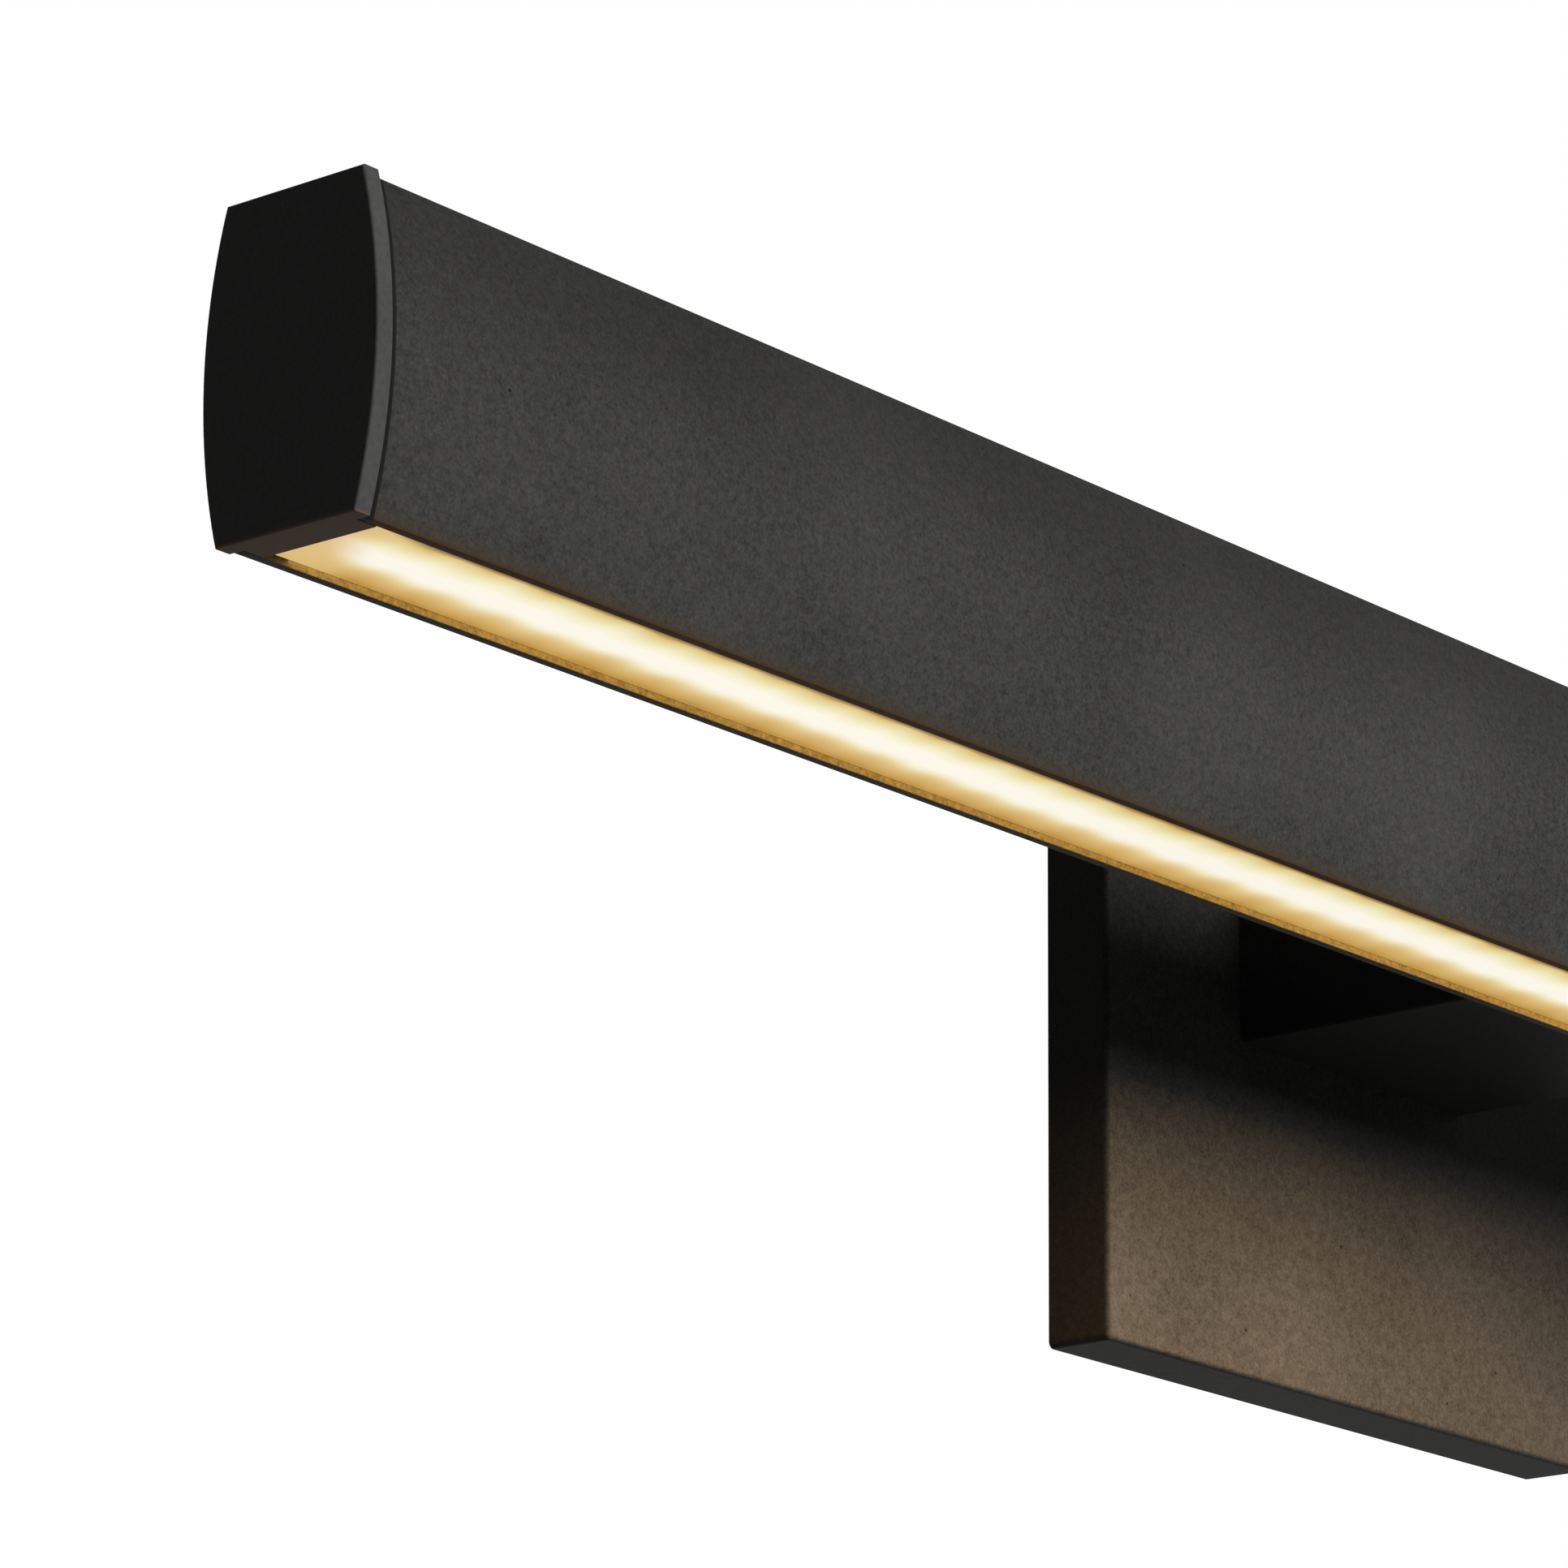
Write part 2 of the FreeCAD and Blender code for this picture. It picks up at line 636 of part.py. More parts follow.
# ---- back plate ----------------------------------------------------------------------------
def back_plate():
    shell = box(-plate_half, plate_half, plate_front_y, 0, -plate_half, plate_half)
    shell = shell.makeFillet(plate_corner_round,
                             straight_edges(shell, Vector(0, 1, 0), lambda centre: True))
    rim = [edge for edge in shell.Edges if abs(edge.CenterOfMass.y - plate_front_y) < 1e-6]
    shell = shell.makeFillet(plate_edge_round, rim)
    shell = cut(shell, box(-plate_inner_half, plate_inner_half, plate_inner_y, over,
                           -plate_inner_half, plate_inner_half))

    # Hook rib inside the lower wall, behind the bracket's lip, and the boss for the earth screw.
    rib_y = -bracket_flange_depth + bracket_thickness + hook_clearance
    rib = box(-plate_rib_half_width, plate_rib_half_width, rib_y, rib_y + plate_rib_thickness,
              -plate_inner_half - plate_wall / 2, -plate_inner_half + plate_rib_height)
    boss = rod(earth_boss_radius, (earth_x, plate_inner_y - plate_wall / 2, earth_z),
               (earth_x, earth_ring_y, earth_z))
    shell = fuse(shell, rib, boss)

    tools = [rod(plate_grommet_bore + grommet_wall + fit, (0, plate_front_y - over, arm_mid_z),
                 (0, plate_inner_y + over, arm_mid_z))]
    for x, z in arm_screw_places():
        tools.append(rod(m4_clearance_radius, (x, plate_front_y - over, z), (x, plate_inner_y + over, z)))
    tools.append(rod(m4_radius + thread_clearance, (earth_x, plate_inner_y, earth_z),
                     (earth_x, earth_ring_y + over, earth_z)))
    for x in plate_screw_xs():
        tools.append(rod(m3_radius + fit, (x, plate_screw_y(), plate_inner_half - over),
                         (x, plate_screw_y(), plate_half + over)))
        tools.append(countersink(x, fit))
    return cut(shell, *tools)


def plate_screw_xs():
    return [side * plate_screw_spacing / 2 for side in (-1, 1)]


def plate_screw_y():
    return -bracket_flange_depth / 2 - bracket_thickness / 2


def countersink(x, grow):
    """The cone of a flat screw head that ends level with the plate's top edge."""
    return Part.makeCone(m3_head_radius + grow, m3_radius + grow, plate_wall - plate_edge_round / 2,
                         Vector(x, plate_screw_y(), plate_half), Vector(0, 0, -1))


def plate_screws():
    screws = []
    for x in plate_screw_xs():
        y = plate_screw_y()
        shank = rod(m3_radius, (x, y, plate_half - plate_screw_length), (x, y, plate_half))
        corners = [math.radians(angle) for angle in range(0, 361, 60)]
        socket = Part.makePolygon([Vector(x + socket_radius * math.cos(corner),
                                          y + socket_radius * math.sin(corner), plate_half)
                                   for corner in corners])
        screw = fuse(countersink(x, 0), shank)
        screws.append(cut(screw, Part.Face(Part.Wire(socket)).extrude(Vector(0, 0, -recess_depth))))
    return screws


# ---- wall bracket --------------------------------------------------------------------------
def slot(x, z, along_x):
    """An upright or lying slot through the bracket's sheet, centred on x and z."""
    reach = slot_length / 2 - slot_radius
    dx, dz = (reach, 0) if along_x else (0, reach)
    wide_x, wide_z = (reach, slot_radius) if along_x else (slot_radius, reach)
    ends = [rod(slot_radius, (x + side * dx, bracket_front_y - over, z + side * dz),
                (x + side * dx, over, z + side * dz)) for side in (-1, 1)]
    return fuse(box(x - wide_x, x + wide_x, bracket_front_y - over, over, z - wide_z, z + wide_z), *ends)


def mounting_bracket():
    half_flange = bracket_flange_width / 2
    panel = box(-bracket_width / 2, bracket_width / 2, bracket_front_y, 0,
                -flange_top_z, flange_top_z)
    # The panel's corners are cropped to the width of its folded flanges.
    for side_x in (-1, 1):
        for side_z in (-1, 1):
            x0, x1 = sorted((side_x * half_flange, side_x * bracket_width))
            z0, z1 = sorted((side_z * (flange_top_z - bracket_crop), side_z * plate_size))
            panel = cut(panel, box(x0, x1, bracket_front_y - over, over, z0, z1))
    flange_front_y = -bracket_flange_depth
    top = box(-half_flange, half_flange, flange_front_y, 0,
              flange_top_z - bracket_thickness, flange_top_z)
    lip_low_z = -plate_inner_half + hook_clearance
    floor_high_z = -plate_inner_half + plate_rib_height + hook_clearance + bracket_thickness
    lip_half = plate_rib_half_width - bracket_gap
    floor = box(-lip_half, lip_half, flange_front_y, bracket_front_y / 2,
                floor_high_z - bracket_thickness, floor_high_z)
    lip = box(-lip_half, lip_half, flange_front_y, flange_front_y + bracket_thickness,
              lip_low_z, floor_high_z)
    earth_boss = rod(earth_boss_radius, (earth_x, bracket_front_y / 2, -earth_z),
                     (earth_x, earth_ring_y + ring_thickness, -earth_z))
    bracket = fuse(panel, top, floor, lip, earth_boss)

    tools = [rod(bracket_hole_radius, (0, bracket_front_y - over, 0), (0, over, 0))]
    for side in (-1, 1):
        tools.append(slot(side * slot_spacing / 2, 0, True))
        tools.append(slot(0, side * slot_spacing / 2, False))
    tools.append(rod(m4_radius + thread_clearance, (earth_x, plate_inner_y, -earth_z),
                     (earth_x, over, -earth_z)))
    tools.append(rod(block_screw_radius + thread_clearance,
                     (block_centre_x, bracket_front_y - over, block_mid_z()),
                     (block_centre_x, over, block_mid_z())))
    for x in plate_screw_xs():
        tools.append(rod(m3_radius + thread_clearance,
                         (x, plate_screw_y(), flange_top_z - 2 * bracket_thickness),
                         (x, plate_screw_y(), flange_top_z + over)))
    return cut(bracket, *tools)


# ---- terminal block and earth lead ---------------------------------------------------------
def block_mid_z():
    return block_top_z - block_height / 2


def block_front_y():
    return bracket_front_y - block_depth


def terminal_block():
    body = box(block_centre_x - block_width / 2, block_centre_x + block_width / 2,
               block_front_y(), bracket_front_y, block_top_z - block_height, block_top_z)
    tools = []
    for side in (-1, 1):
        x = pole_x(side)
        tools.append(rod(wire_hole_radius, (x, cavity_wire_y, block_top_z - block_height - over),
                         (x, cavity_wire_y, block_top_z + over)))
        for z in clamp_screw_zs():
            tools.append(rod(m3_radius, (x, block_front_y() - over, z), (x, cavity_wire_y, z)))
    head_y = bracket_front_y - block_depth / 2
    tools.append(rod(m3_head_radius + fit, (block_centre_x, block_front_y() - over, block_mid_z()),
                     (block_centre_x, head_y, block_mid_z())))
    tools.append(rod(block_screw_radius + fit, (block_centre_x, head_y - over, block_mid_z()),
                     (block_centre_x, over, block_mid_z())))
    return cut(body, *tools)


def clamp_screw_zs():
    return [block_mid_z() + side * block_height / 4 for side in (-1, 1)]


def terminal_screws():
    """Two clamp screws for each pole, with a driver slot across each."""
    screws = []
    for side in (-1, 1):
        for z in clamp_screw_zs():
            x = pole_x(side)
            screw = rod(m3_radius - fit, (x, block_front_y() + fit, z),
                        (x, cavity_wire_y - wire_radius - fit, z))
            slit = box(x - m3_radius, x + m3_radius, block_front_y() - over,
                       block_front_y() + recess_width, z - recess_width / 4, z + recess_width / 4)
            screws.append(cut(screw, slit))
    return screws


def block_screw():
    head_y = bracket_front_y - block_depth / 2
    return pan_screw((block_centre_x, head_y, block_mid_z()), (0, 1, 0), -head_y,
                     block_screw_radius, m3_head_radius, m3_head_height)


def earth_ring(side):
    """A ring tongue at the plate's (1) or the bracket's (-1) earth screw, barrel towards the other."""
    z = side * earth_z
    y0, y1 = earth_ring_y, earth_ring_y + ring_thickness
    barrel_z = z - side * (ring_radius + ring_barrel_length)
    z0, z1 = sorted((barrel_z, z))
    half = ring_barrel_width / 2
    ring = fuse(rod(ring_radius, (earth_x, y0, z), (earth_x, y1, z)),
                box(earth_x - half, earth_x + half, y0, y1, z0, z1))
    return cut(ring, rod(m4_clearance_radius, (earth_x, y0 - over, z), (earth_x, y1 + over, z)))


def earth_screws():
    plate_seat = (earth_x, earth_ring_y + ring_thickness, earth_z)
    bracket_seat = (earth_x, earth_ring_y, -earth_z)
    return [pan_screw(plate_seat, (0, -1, 0), earth_screw_grip, m4_radius, m4_head_radius,
                      m4_head_height),
            pan_screw(bracket_seat, (0, 1, 0), -earth_ring_y, m4_radius, m4_head_radius,
                      m4_head_height)]


def earth_lead():
    """The lead lies on the two barrels and bows sideways between them."""
    y = earth_ring_y + ring_thickness + earth_wire_radius + fit / 2
    reach = earth_z - ring_radius - over
    points = [(earth_x, y, reach),
              (earth_x, y, reach - ring_barrel_length),
              (earth_x + earth_slack, y, earth_slack),
              (earth_x + earth_slack, y, -earth_slack),
              (earth_x, y, ring_barrel_length - reach),
              (earth_x, y, -reach)]
    return wire_tube(points, 2 * wire_bend, earth_wire_radius)


# ---- all pieces ----------------------------------------------------------------------------
os.makedirs("parts", exist_ok=True)
save("bar_housing", bar_housing())
save("right_end_cap", right_end_cap())
save("left_end_cap", mirrored(right_end_cap()))
save("diffuser", diffuser())
save("led_board_left", led_board(-1))
save("led_board_right", led_board(1))
save("led_chips", *led_chips())
save("board_links", *board_links())
save("thermal_tape", thermal_tape())
save("driver_case", driver_case())
save("driver_lid", driver_lid())
save("driver_board", driver_board())
save("driver_transformer", driver_transformer())
save("driver_capacitors", *driver_capacitors())
save("driver_tape", driver_tape())
save("input_wires", *input_wires())
save("output_wires", *output_wires())
save("arm", arm())
save("slide_nuts", *slide_nuts())
save("bar_screws", *bar_screws())
save("arm_screws", *arm_screws())
save("bar_grommet", grommet(land_y, saddle_inner_y, channel_mid_z, bar_grommet_bore))
save("plate_grommet", grommet(plate_front_y, plate_inner_y, arm_mid_z, plate_grommet_bore))
save("back_plate", back_plate())
save("plate_screws", *plate_screws())
save("mounting_bracket", mounting_bracket())
save("terminal_block", terminal_block())
save("terminal_screws", *terminal_screws())
save("block_screw", block_screw())
save("earth_rings", earth_ring(1), earth_ring(-1))
save("earth_screws", *earth_screws())
save("earth_lead", earth_lead())
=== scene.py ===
# Vanity light bar: a long aluminium barrel with a lit strip in its underside, held off the wall
# by a wide block arm on a square back plate.
#
# Metres. The origin is the centre of the back plate's rear, on the wall. +X runs along the bar
# to the right as seen from the room, +Y points into the wall, +Z is up.
import bmesh
import bpy
import math
from mathutils import Matrix, Vector


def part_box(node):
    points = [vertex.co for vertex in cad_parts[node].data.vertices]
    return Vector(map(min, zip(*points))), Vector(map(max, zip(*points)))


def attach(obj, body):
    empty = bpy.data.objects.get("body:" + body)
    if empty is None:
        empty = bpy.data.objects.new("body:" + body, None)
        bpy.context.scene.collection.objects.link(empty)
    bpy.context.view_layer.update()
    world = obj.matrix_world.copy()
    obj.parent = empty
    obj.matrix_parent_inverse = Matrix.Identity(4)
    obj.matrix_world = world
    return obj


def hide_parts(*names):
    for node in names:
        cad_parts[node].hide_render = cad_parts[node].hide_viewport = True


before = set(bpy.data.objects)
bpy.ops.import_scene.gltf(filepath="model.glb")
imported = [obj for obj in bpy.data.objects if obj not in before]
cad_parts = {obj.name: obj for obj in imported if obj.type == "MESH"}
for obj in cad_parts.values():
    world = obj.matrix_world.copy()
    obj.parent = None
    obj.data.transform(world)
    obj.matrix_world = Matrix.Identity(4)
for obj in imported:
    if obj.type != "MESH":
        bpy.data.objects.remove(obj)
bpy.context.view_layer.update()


# ---- wall bracket --------------------------------------------------------------------------
# A sheet of steel, punched and folded, then zinc plated. It screws to the outlet box through
# its slots, carries the plate's hook rib on its foot, and its flange takes two screws above.
class Shade:
    """An output of a finish's nodes. Arithmetic on it adds Math nodes."""

    def __init__(self, finish, socket):
        self.finish = finish
        self.socket = socket

    def maths(self, operation, *terms):
        settings = {"operation": operation}
        return self.finish.add("ShaderNodeMath", settings, dict(enumerate(terms)))

    def __add__(self, other):
        return self.maths("ADD", self, other)

    def __radd__(self, other):
        return self.maths("ADD", other, self)

    def __sub__(self, other):
        return self.maths("SUBTRACT", self, other)

    def __rsub__(self, other):
        return self.maths("SUBTRACT", other, self)

    def __mul__(self, other):
        return self.maths("MULTIPLY", self, other)

    def __rmul__(self, other):
        return self.maths("MULTIPLY", other, self)

    def __truediv__(self, other):
        return self.maths("DIVIDE", self, other)

    def __rtruediv__(self, other):
        return self.maths("DIVIDE", other, self)

    def __abs__(self):
        return self.maths("ABSOLUTE", self)

    def sine(self):
        return self.maths("SINE", self)

    def least(self, other):
        return self.maths("MINIMUM", self, other)

    def most(self, other):
        return self.maths("MAXIMUM", self, other)

    def clamp(self):
        return self.least(1.0).most(0.0)

    def clear(self, low, high):
        """0 below low, 1 above high, and a smooth step between."""
        settings = {"interpolation_type": "SMOOTHSTEP"}
        return self.finish.add("ShaderNodeMapRange", settings,
                               {"Value": self, "From Min": low, "From Max": high})


class Finish:
    """A procedural material on the surface of a piece."""

    def __init__(self, name, constants={}):
        self.material = bpy.data.materials.new(name)
        self.material.use_nodes = True
        self.tree = self.material.node_tree
        self.surface = self.tree.nodes["Principled BSDF"]
        self.place = self.add("ShaderNodeTexCoord", output="Object")
        for socket, value in constants.items():
            self.surface.inputs[socket].default_value = value

    def add(self, kind, settings={}, inputs={}, output=0):
        """One node: its settings first, then the values or links of its sockets."""
        node = self.tree.nodes.new(kind)
        for name, value in settings.items():
            if name == "stops":
                ramp = node.color_ramp
                while len(ramp.elements) < len(value):
                    ramp.elements.new(1.0)
                for stop, (position, colour) in zip(ramp.elements, value):
                    stop.position = position
                    stop.color = (*colour, 1.0)
            else:
                setattr(node, name, value)
        for key, value in inputs.items():
            if isinstance(value, Shade):
                self.tree.links.new(value.socket, node.inputs[key])
            else:
                node.inputs[key].default_value = value
        return Shade(self, node.outputs[output])

    def feed(self, socket, shade):
        self.tree.links.new(shade.socket, self.surface.inputs[socket])

    def noise(self, marks, detail=2.0, rough=0.5, stretch=(1.0, 1.0, 1.0)):
        """Soft noise whose marks are about as many metres across as marks says."""
        place = self.add("ShaderNodeMapping", {}, {"Vector": self.place, "Scale": stretch})
        return self.add("ShaderNodeTexNoise", {},
                        {"Vector": place, "Scale": 1.0 / marks, "Detail": detail,
                         "Roughness": rough})

    def mix(self, share, first, second):
        """The first colour where share is 0, and the second where it is 1."""
        ends = [(*colour, 1.0) if isinstance(colour, tuple) else colour
                for colour in (first, second)]
        return self.add("ShaderNodeMix", {"data_type": "RGBA"},
                        {0: share, 6: ends[0], 7: ends[1]}, output=2)

    def axis(self, name):
        return self.add("ShaderNodeSeparateXYZ", {}, {"Vector": self.place}, output=name)

    def bump(self, height, depth, strength=1.0):
        self.feed("Normal", self.add("ShaderNodeBump", {}, {"Strength": strength,
                                                            "Distance": depth,
                                                            "Height": height}))


def dress(finish, *nodes):
    """Gives CAD nodes their finish in place of the plain one they came with."""
    for node in nodes:
        for material_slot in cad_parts[node].material_slots:
            material_slot.material = finish.material


zinc_light = (0.62, 0.62, 0.60)
zinc_dark = (0.40, 0.41, 0.42)
spangle_size = 0.0035
plating_size = 0.0012
plating_depth = 0.00004
zinc = Finish("zinc", {"Metallic": 1.0})
spangle = zinc.add("ShaderNodeTexVoronoi", {"feature": "F1"},
                   {"Vector": zinc.place, "Scale": 1.0 / spangle_size}, output="Color")
spangle_tone = zinc.add("ShaderNodeSeparateColor", {}, {"Color": spangle})
plating = zinc.noise(plating_size, detail=3.0)
zinc.feed("Base Color", zinc.mix(spangle_tone * 0.5 + plating * 0.5, zinc_dark, zinc_light))
zinc.feed("Roughness", 0.28 + plating * 0.22 + spangle_tone * 0.08)
zinc.bump(plating, plating_depth)
dress(zinc, "mounting_bracket", "block_screw", "arm_screws", "bar_screws", "slide_nuts")


# ---- back plate ----------------------------------------------------------------------------
# A square open-backed cover, cast in aluminium and coated in a fine-textured black powder.
# It hooks on the bracket's foot, and two flat screws through its upper wall draw it home.
def new_piece(name, mesh, finish, replaced):
    """Makes an object of a finished bmesh on the root body, and hides the CAD node it stands in
    for.
    """
    bmesh.ops.remove_doubles(mesh, verts=mesh.verts[:], dist=1e-7)
    bmesh.ops.recalc_face_normals(mesh, faces=mesh.faces[:])
    data = bpy.data.meshes.new(name)
    mesh.to_mesh(data)
    mesh.free()
    piece = bpy.data.objects.new(name, data)
    bpy.context.scene.collection.objects.link(piece)
    data.materials.append(finish.material)
    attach(piece, "root")
    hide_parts(replaced)
    return piece


def shade_rounded(piece):
    """Smooth faces with sharp edges between them, the wide faces kept flat to their rims."""
    sharp_angle = math.radians(32)
    piece.data.shade_smooth()
    piece.data.set_sharp_from_angle(angle=sharp_angle)
    flat = piece.modifiers.new("flat faces", "WEIGHTED_NORMAL")
    flat.keep_sharp = True
    flat.weight = 80


def box(mesh, low, high):
    """A closed block between two corners."""
    low, high = Vector(low), Vector(high)
    made = bmesh.ops.create_cube(mesh, size=1.0)["verts"]
    bmesh.ops.scale(mesh, vec=high - low, verts=made)
    bmesh.ops.translate(mesh, vec=(low + high) / 2, verts=made)


def rod(mesh, start, end, radius, end_radius=None, segments=48):
    """A closed round bar between two points, tapered if its ends differ."""
    start, end = Vector(start), Vector(end)
    turn = (end - start).to_track_quat("Z", "Y").to_matrix().to_4x4()
    bmesh.ops.create_cone(mesh, cap_ends=True, segments=segments, radius1=radius,
                          radius2=radius if end_radius is None else end_radius,
                          depth=(end - start).length,
                          matrix=Matrix.Translation((start + end) / 2) @ turn)


def round_edges(mesh, edges, radius, segments=4):
    bmesh.ops.bevel(mesh, geom=edges, offset=radius, offset_type="OFFSET", affect="EDGES",
                    segments=segments, profile=0.5, material=-1)


def edges_where(mesh, test):
    """Edges whose two ends both pass a test."""
    return [edge for edge in mesh.edges if all(test(vert.co) for vert in edge.verts)]


def near(first, second):
    return abs(first - second) < 1e-5


def press(mesh, faces, way):
    """Pushes part of a surface in or out, with walls round it."""
    grown = bmesh.ops.extrude_face_region(mesh, geom=faces)["geom"]
    bmesh.ops.delete(mesh, geom=[face for face in faces if face.is_valid], context="FACES")
    moved = [item for item in grown if isinstance(item, bmesh.types.BMVert)]
    bmesh.ops.translate(mesh, vec=way, verts=moved)


def combine(piece, operation, shape):
    """Joins a bmesh's closed shapes to a piece, or cuts them out of it."""
    data = bpy.data.meshes.new("tool")
    shape.to_mesh(data)
    shape.free()
    tool = bpy.data.objects.new("tool", data)
    bpy.context.scene.collection.objects.link(tool)
    modifier = piece.modifiers.new("tool", "BOOLEAN")
    modifier.object = tool
    modifier.operation = operation
    modifier.solver = "MANIFOLD"
    graph = bpy.context.evaluated_depsgraph_get()
    combined = bpy.data.meshes.new_from_object(piece.evaluated_get(graph))
    piece.modifiers.clear()
    piece.data = combined
    bpy.data.objects.remove(tool)


def join_box(piece, low, high):
    added = bmesh.new()
    box(added, low, high)
    combine(piece, "UNION", added)


def join_rod(piece, start, end, radius, segments=32):
    added = bmesh.new()
    rod(added, start, end, radius, segments=segments)
    combine(piece, "UNION", added)


plate_low, plate_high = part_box("back_plate")
plate_wall = 0.002
plate_corner_round = 0.001
plate_edge_round = 0.0008
hook_rib_low_y, hook_rib_high_y = -0.0061, -0.0046
hook_rib_half_width = 0.035
hook_rib_height = 0.0015
boss_x, boss_z = 0.026, 0.026
earth_boss_radius = 0.0035
earth_boss_height = 0.003
wire_hole_radius = 0.0055
arm_screw_x, arm_screw_z = 0.0218, 0.0045
arm_screw_hole_radius = 0.00225
plate_screw_x = 0.030
countersink_radius = 0.0029
countersink_depth = 0.0016
plate_screw_hole_radius = 0.0016
over = 0.001                  # how far a cutting shape runs past what it cuts

# Fine-textured powder coat: wrinkled grains about a millimetre across, over slow faint clouds,
# with a small dark pit here and there.
coat_dark = (0.024, 0.0235, 0.0215)
coat_light = (0.082, 0.081, 0.075)
pit_colour = (0.008, 0.008, 0.007)
grain_size = 0.0011
fine_grain_size = grain_size / 2.7
grain_depth = 0.00004
cloud_size = 0.035
pit_spacing = 0.007
pit_size = 0.00035


def powder(name):
    """A finish of the black powder, and its colour before any local change."""
    finish = Finish(name, {"Specular IOR Level": 0.02})
    grains = finish.noise(grain_size, detail=2.5, rough=0.65)
    fine_grains = finish.noise(fine_grain_size, detail=1.0)
    clouds = finish.noise(cloud_size, detail=2.0)
    texture = grains * 0.55 + fine_grains * 0.45
    tone = (texture - 0.5) * 2.0 + (clouds - 0.5) * 0.6 + 0.5
    coat = finish.mix(tone.clamp(), coat_dark, coat_light)
    to_pit = finish.add("ShaderNodeTexVoronoi", {"feature": "F1"},
                        {"Vector": finish.place, "Scale": 1.0 / pit_spacing}) * pit_spacing
    smooth = to_pit.clear(pit_size * 0.4, pit_size)
    coat = finish.mix(smooth, pit_colour, coat)
    finish.feed("Base Color", coat)
    finish.feed("Roughness", 0.50 + grains * 0.2)
    finish.bump(texture + smooth, grain_depth)
    return finish, coat


# Painted shade: the coat is darkened to a deeper black on the plate's lower edge and its two
# sides.
base_painted_shade = (0.010, 0.0098, 0.0095)
side_painted_shade = (0.006, 0.006, 0.006)
plate_coat, coat = powder("plate_powder_coat")
above_base = plate_coat.axis("Z").clear(plate_low.z, plate_low.z + plate_edge_round)
coat = plate_coat.mix((1.0 - above_base) * 0.5, coat, base_painted_shade)
on_side = abs(plate_coat.axis("X")).clear(plate_high.x - plate_edge_round, plate_high.x)
coat = plate_coat.mix(on_side * 0.5, coat, side_painted_shade)
plate_coat.feed("Base Color", coat)

shell = bmesh.new()
box(shell, plate_low, plate_high)
corners = [edge for edge in shell.edges
           if not near(edge.verts[0].co.y, edge.verts[1].co.y)]
round_edges(shell, corners, plate_corner_round)
rim = edges_where(shell, lambda at: near(at.y, plate_low.y))
round_edges(shell, rim, plate_edge_round)
rear = [face for face in shell.faces if near(face.calc_center_median().y, plate_high.y)]
bmesh.ops.inset_region(shell, faces=rear, thickness=plate_wall, use_even_offset=True)
plate_inner_y = plate_low.y + plate_wall
press(shell, rear, (0, plate_inner_y - plate_high.y, 0))
plate_inner = plate_high.z - plate_wall
plate = new_piece("plate_shell", shell, plate_coat, "back_plate")
join_box(plate, (-hook_rib_half_width, hook_rib_low_y, -plate_inner - plate_wall / 2),
         (hook_rib_half_width, hook_rib_high_y, -plate_inner + hook_rib_height))
join_rod(plate, (boss_x, plate_inner_y - plate_wall / 2, boss_z),
         (boss_x, plate_inner_y + earth_boss_height, boss_z), earth_boss_radius)

holes = bmesh.new()
rod(holes, (0, plate_low.y - over, 0), (0, plate_inner_y + over, 0), wire_hole_radius)
for x in (-arm_screw_x, arm_screw_x):
    for z in (-arm_screw_z, arm_screw_z):
        rod(holes, (x, plate_low.y - over, z), (x, plate_inner_y + over, z),
            arm_screw_hole_radius)
screw_low, screw_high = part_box("plate_screws")
screw_y = (screw_low.y + screw_high.y) / 2
flare = (countersink_radius - plate_screw_hole_radius) / countersink_depth
sinks = bmesh.new()
for x in (-plate_screw_x, plate_screw_x):
    rod(holes, (x, screw_y, plate_inner - over), (x, screw_y, plate_high.z + over),
        plate_screw_hole_radius)
    rod(sinks, (x, screw_y, plate_high.z - countersink_depth),
        (x, screw_y, plate_high.z + over), plate_screw_hole_radius,
        countersink_radius + over * flare)
combine(plate, "DIFFERENCE", holes)
combine(plate, "DIFFERENCE", sinks)
shade_rounded(plate)


# ---- plate screws --------------------------------------------------------------------------
# Two flat-headed screws with hexagon sockets, blackened, sunk level in the plate's upper wall.
fine_depth = 0.00003          # of the bumps on screws, boards and brass
blackened = Finish("black_screw", {"Metallic": 1.0})
oxide = blackened.noise(0.0006, detail=3.0)
blackened.feed("Base Color", blackened.mix(oxide, (0.025, 0.025, 0.025), (0.07, 0.07, 0.068)))
blackened.feed("Roughness", 0.35 + oxide * 0.2)
blackened.bump(oxide, fine_depth)
dress(blackened, "plate_screws")


# ---- terminal block and earth --------------------------------------------------------------
# A moulded two-pole block, screwed to the bracket, takes the supply. Brass rings and a green
# and yellow lead join the plate to the bracket, each under a screw with a green-dyed head.
def moulded(name, dark, light, roughness, mark=0.0006, depth=0.00002, constants={}):
    """Fine-grained plastic, rubber or paint between two close colours."""
    patch_size = mark * 18
    finish = Finish(name, constants)
    skin = finish.noise(mark, detail=3.0)
    patches = finish.noise(patch_size)
    finish.feed("Base Color", finish.mix(skin * 0.5 + patches * 0.5, dark, light))
    finish.feed("Roughness", roughness + skin * 0.15)
    finish.bump(skin, depth)
    return finish


white_plastic = moulded("white_plastic", (0.66, 0.65, 0.61), (0.80, 0.79, 0.76), 0.35)
dress(white_plastic, "terminal_block")

brass = Finish("brass", {"Metallic": 1.0})
brushed = brass.noise(0.0004, detail=3.0, stretch=(1.0, 1.0, 0.15))
brass.feed("Base Color", brass.mix(brushed, (0.60, 0.42, 0.16), (0.78, 0.60, 0.28)))
brass.feed("Roughness", 0.25 + brushed * 0.2)
brass.bump(brushed, fine_depth)
dress(brass, "terminal_screws", "earth_rings")

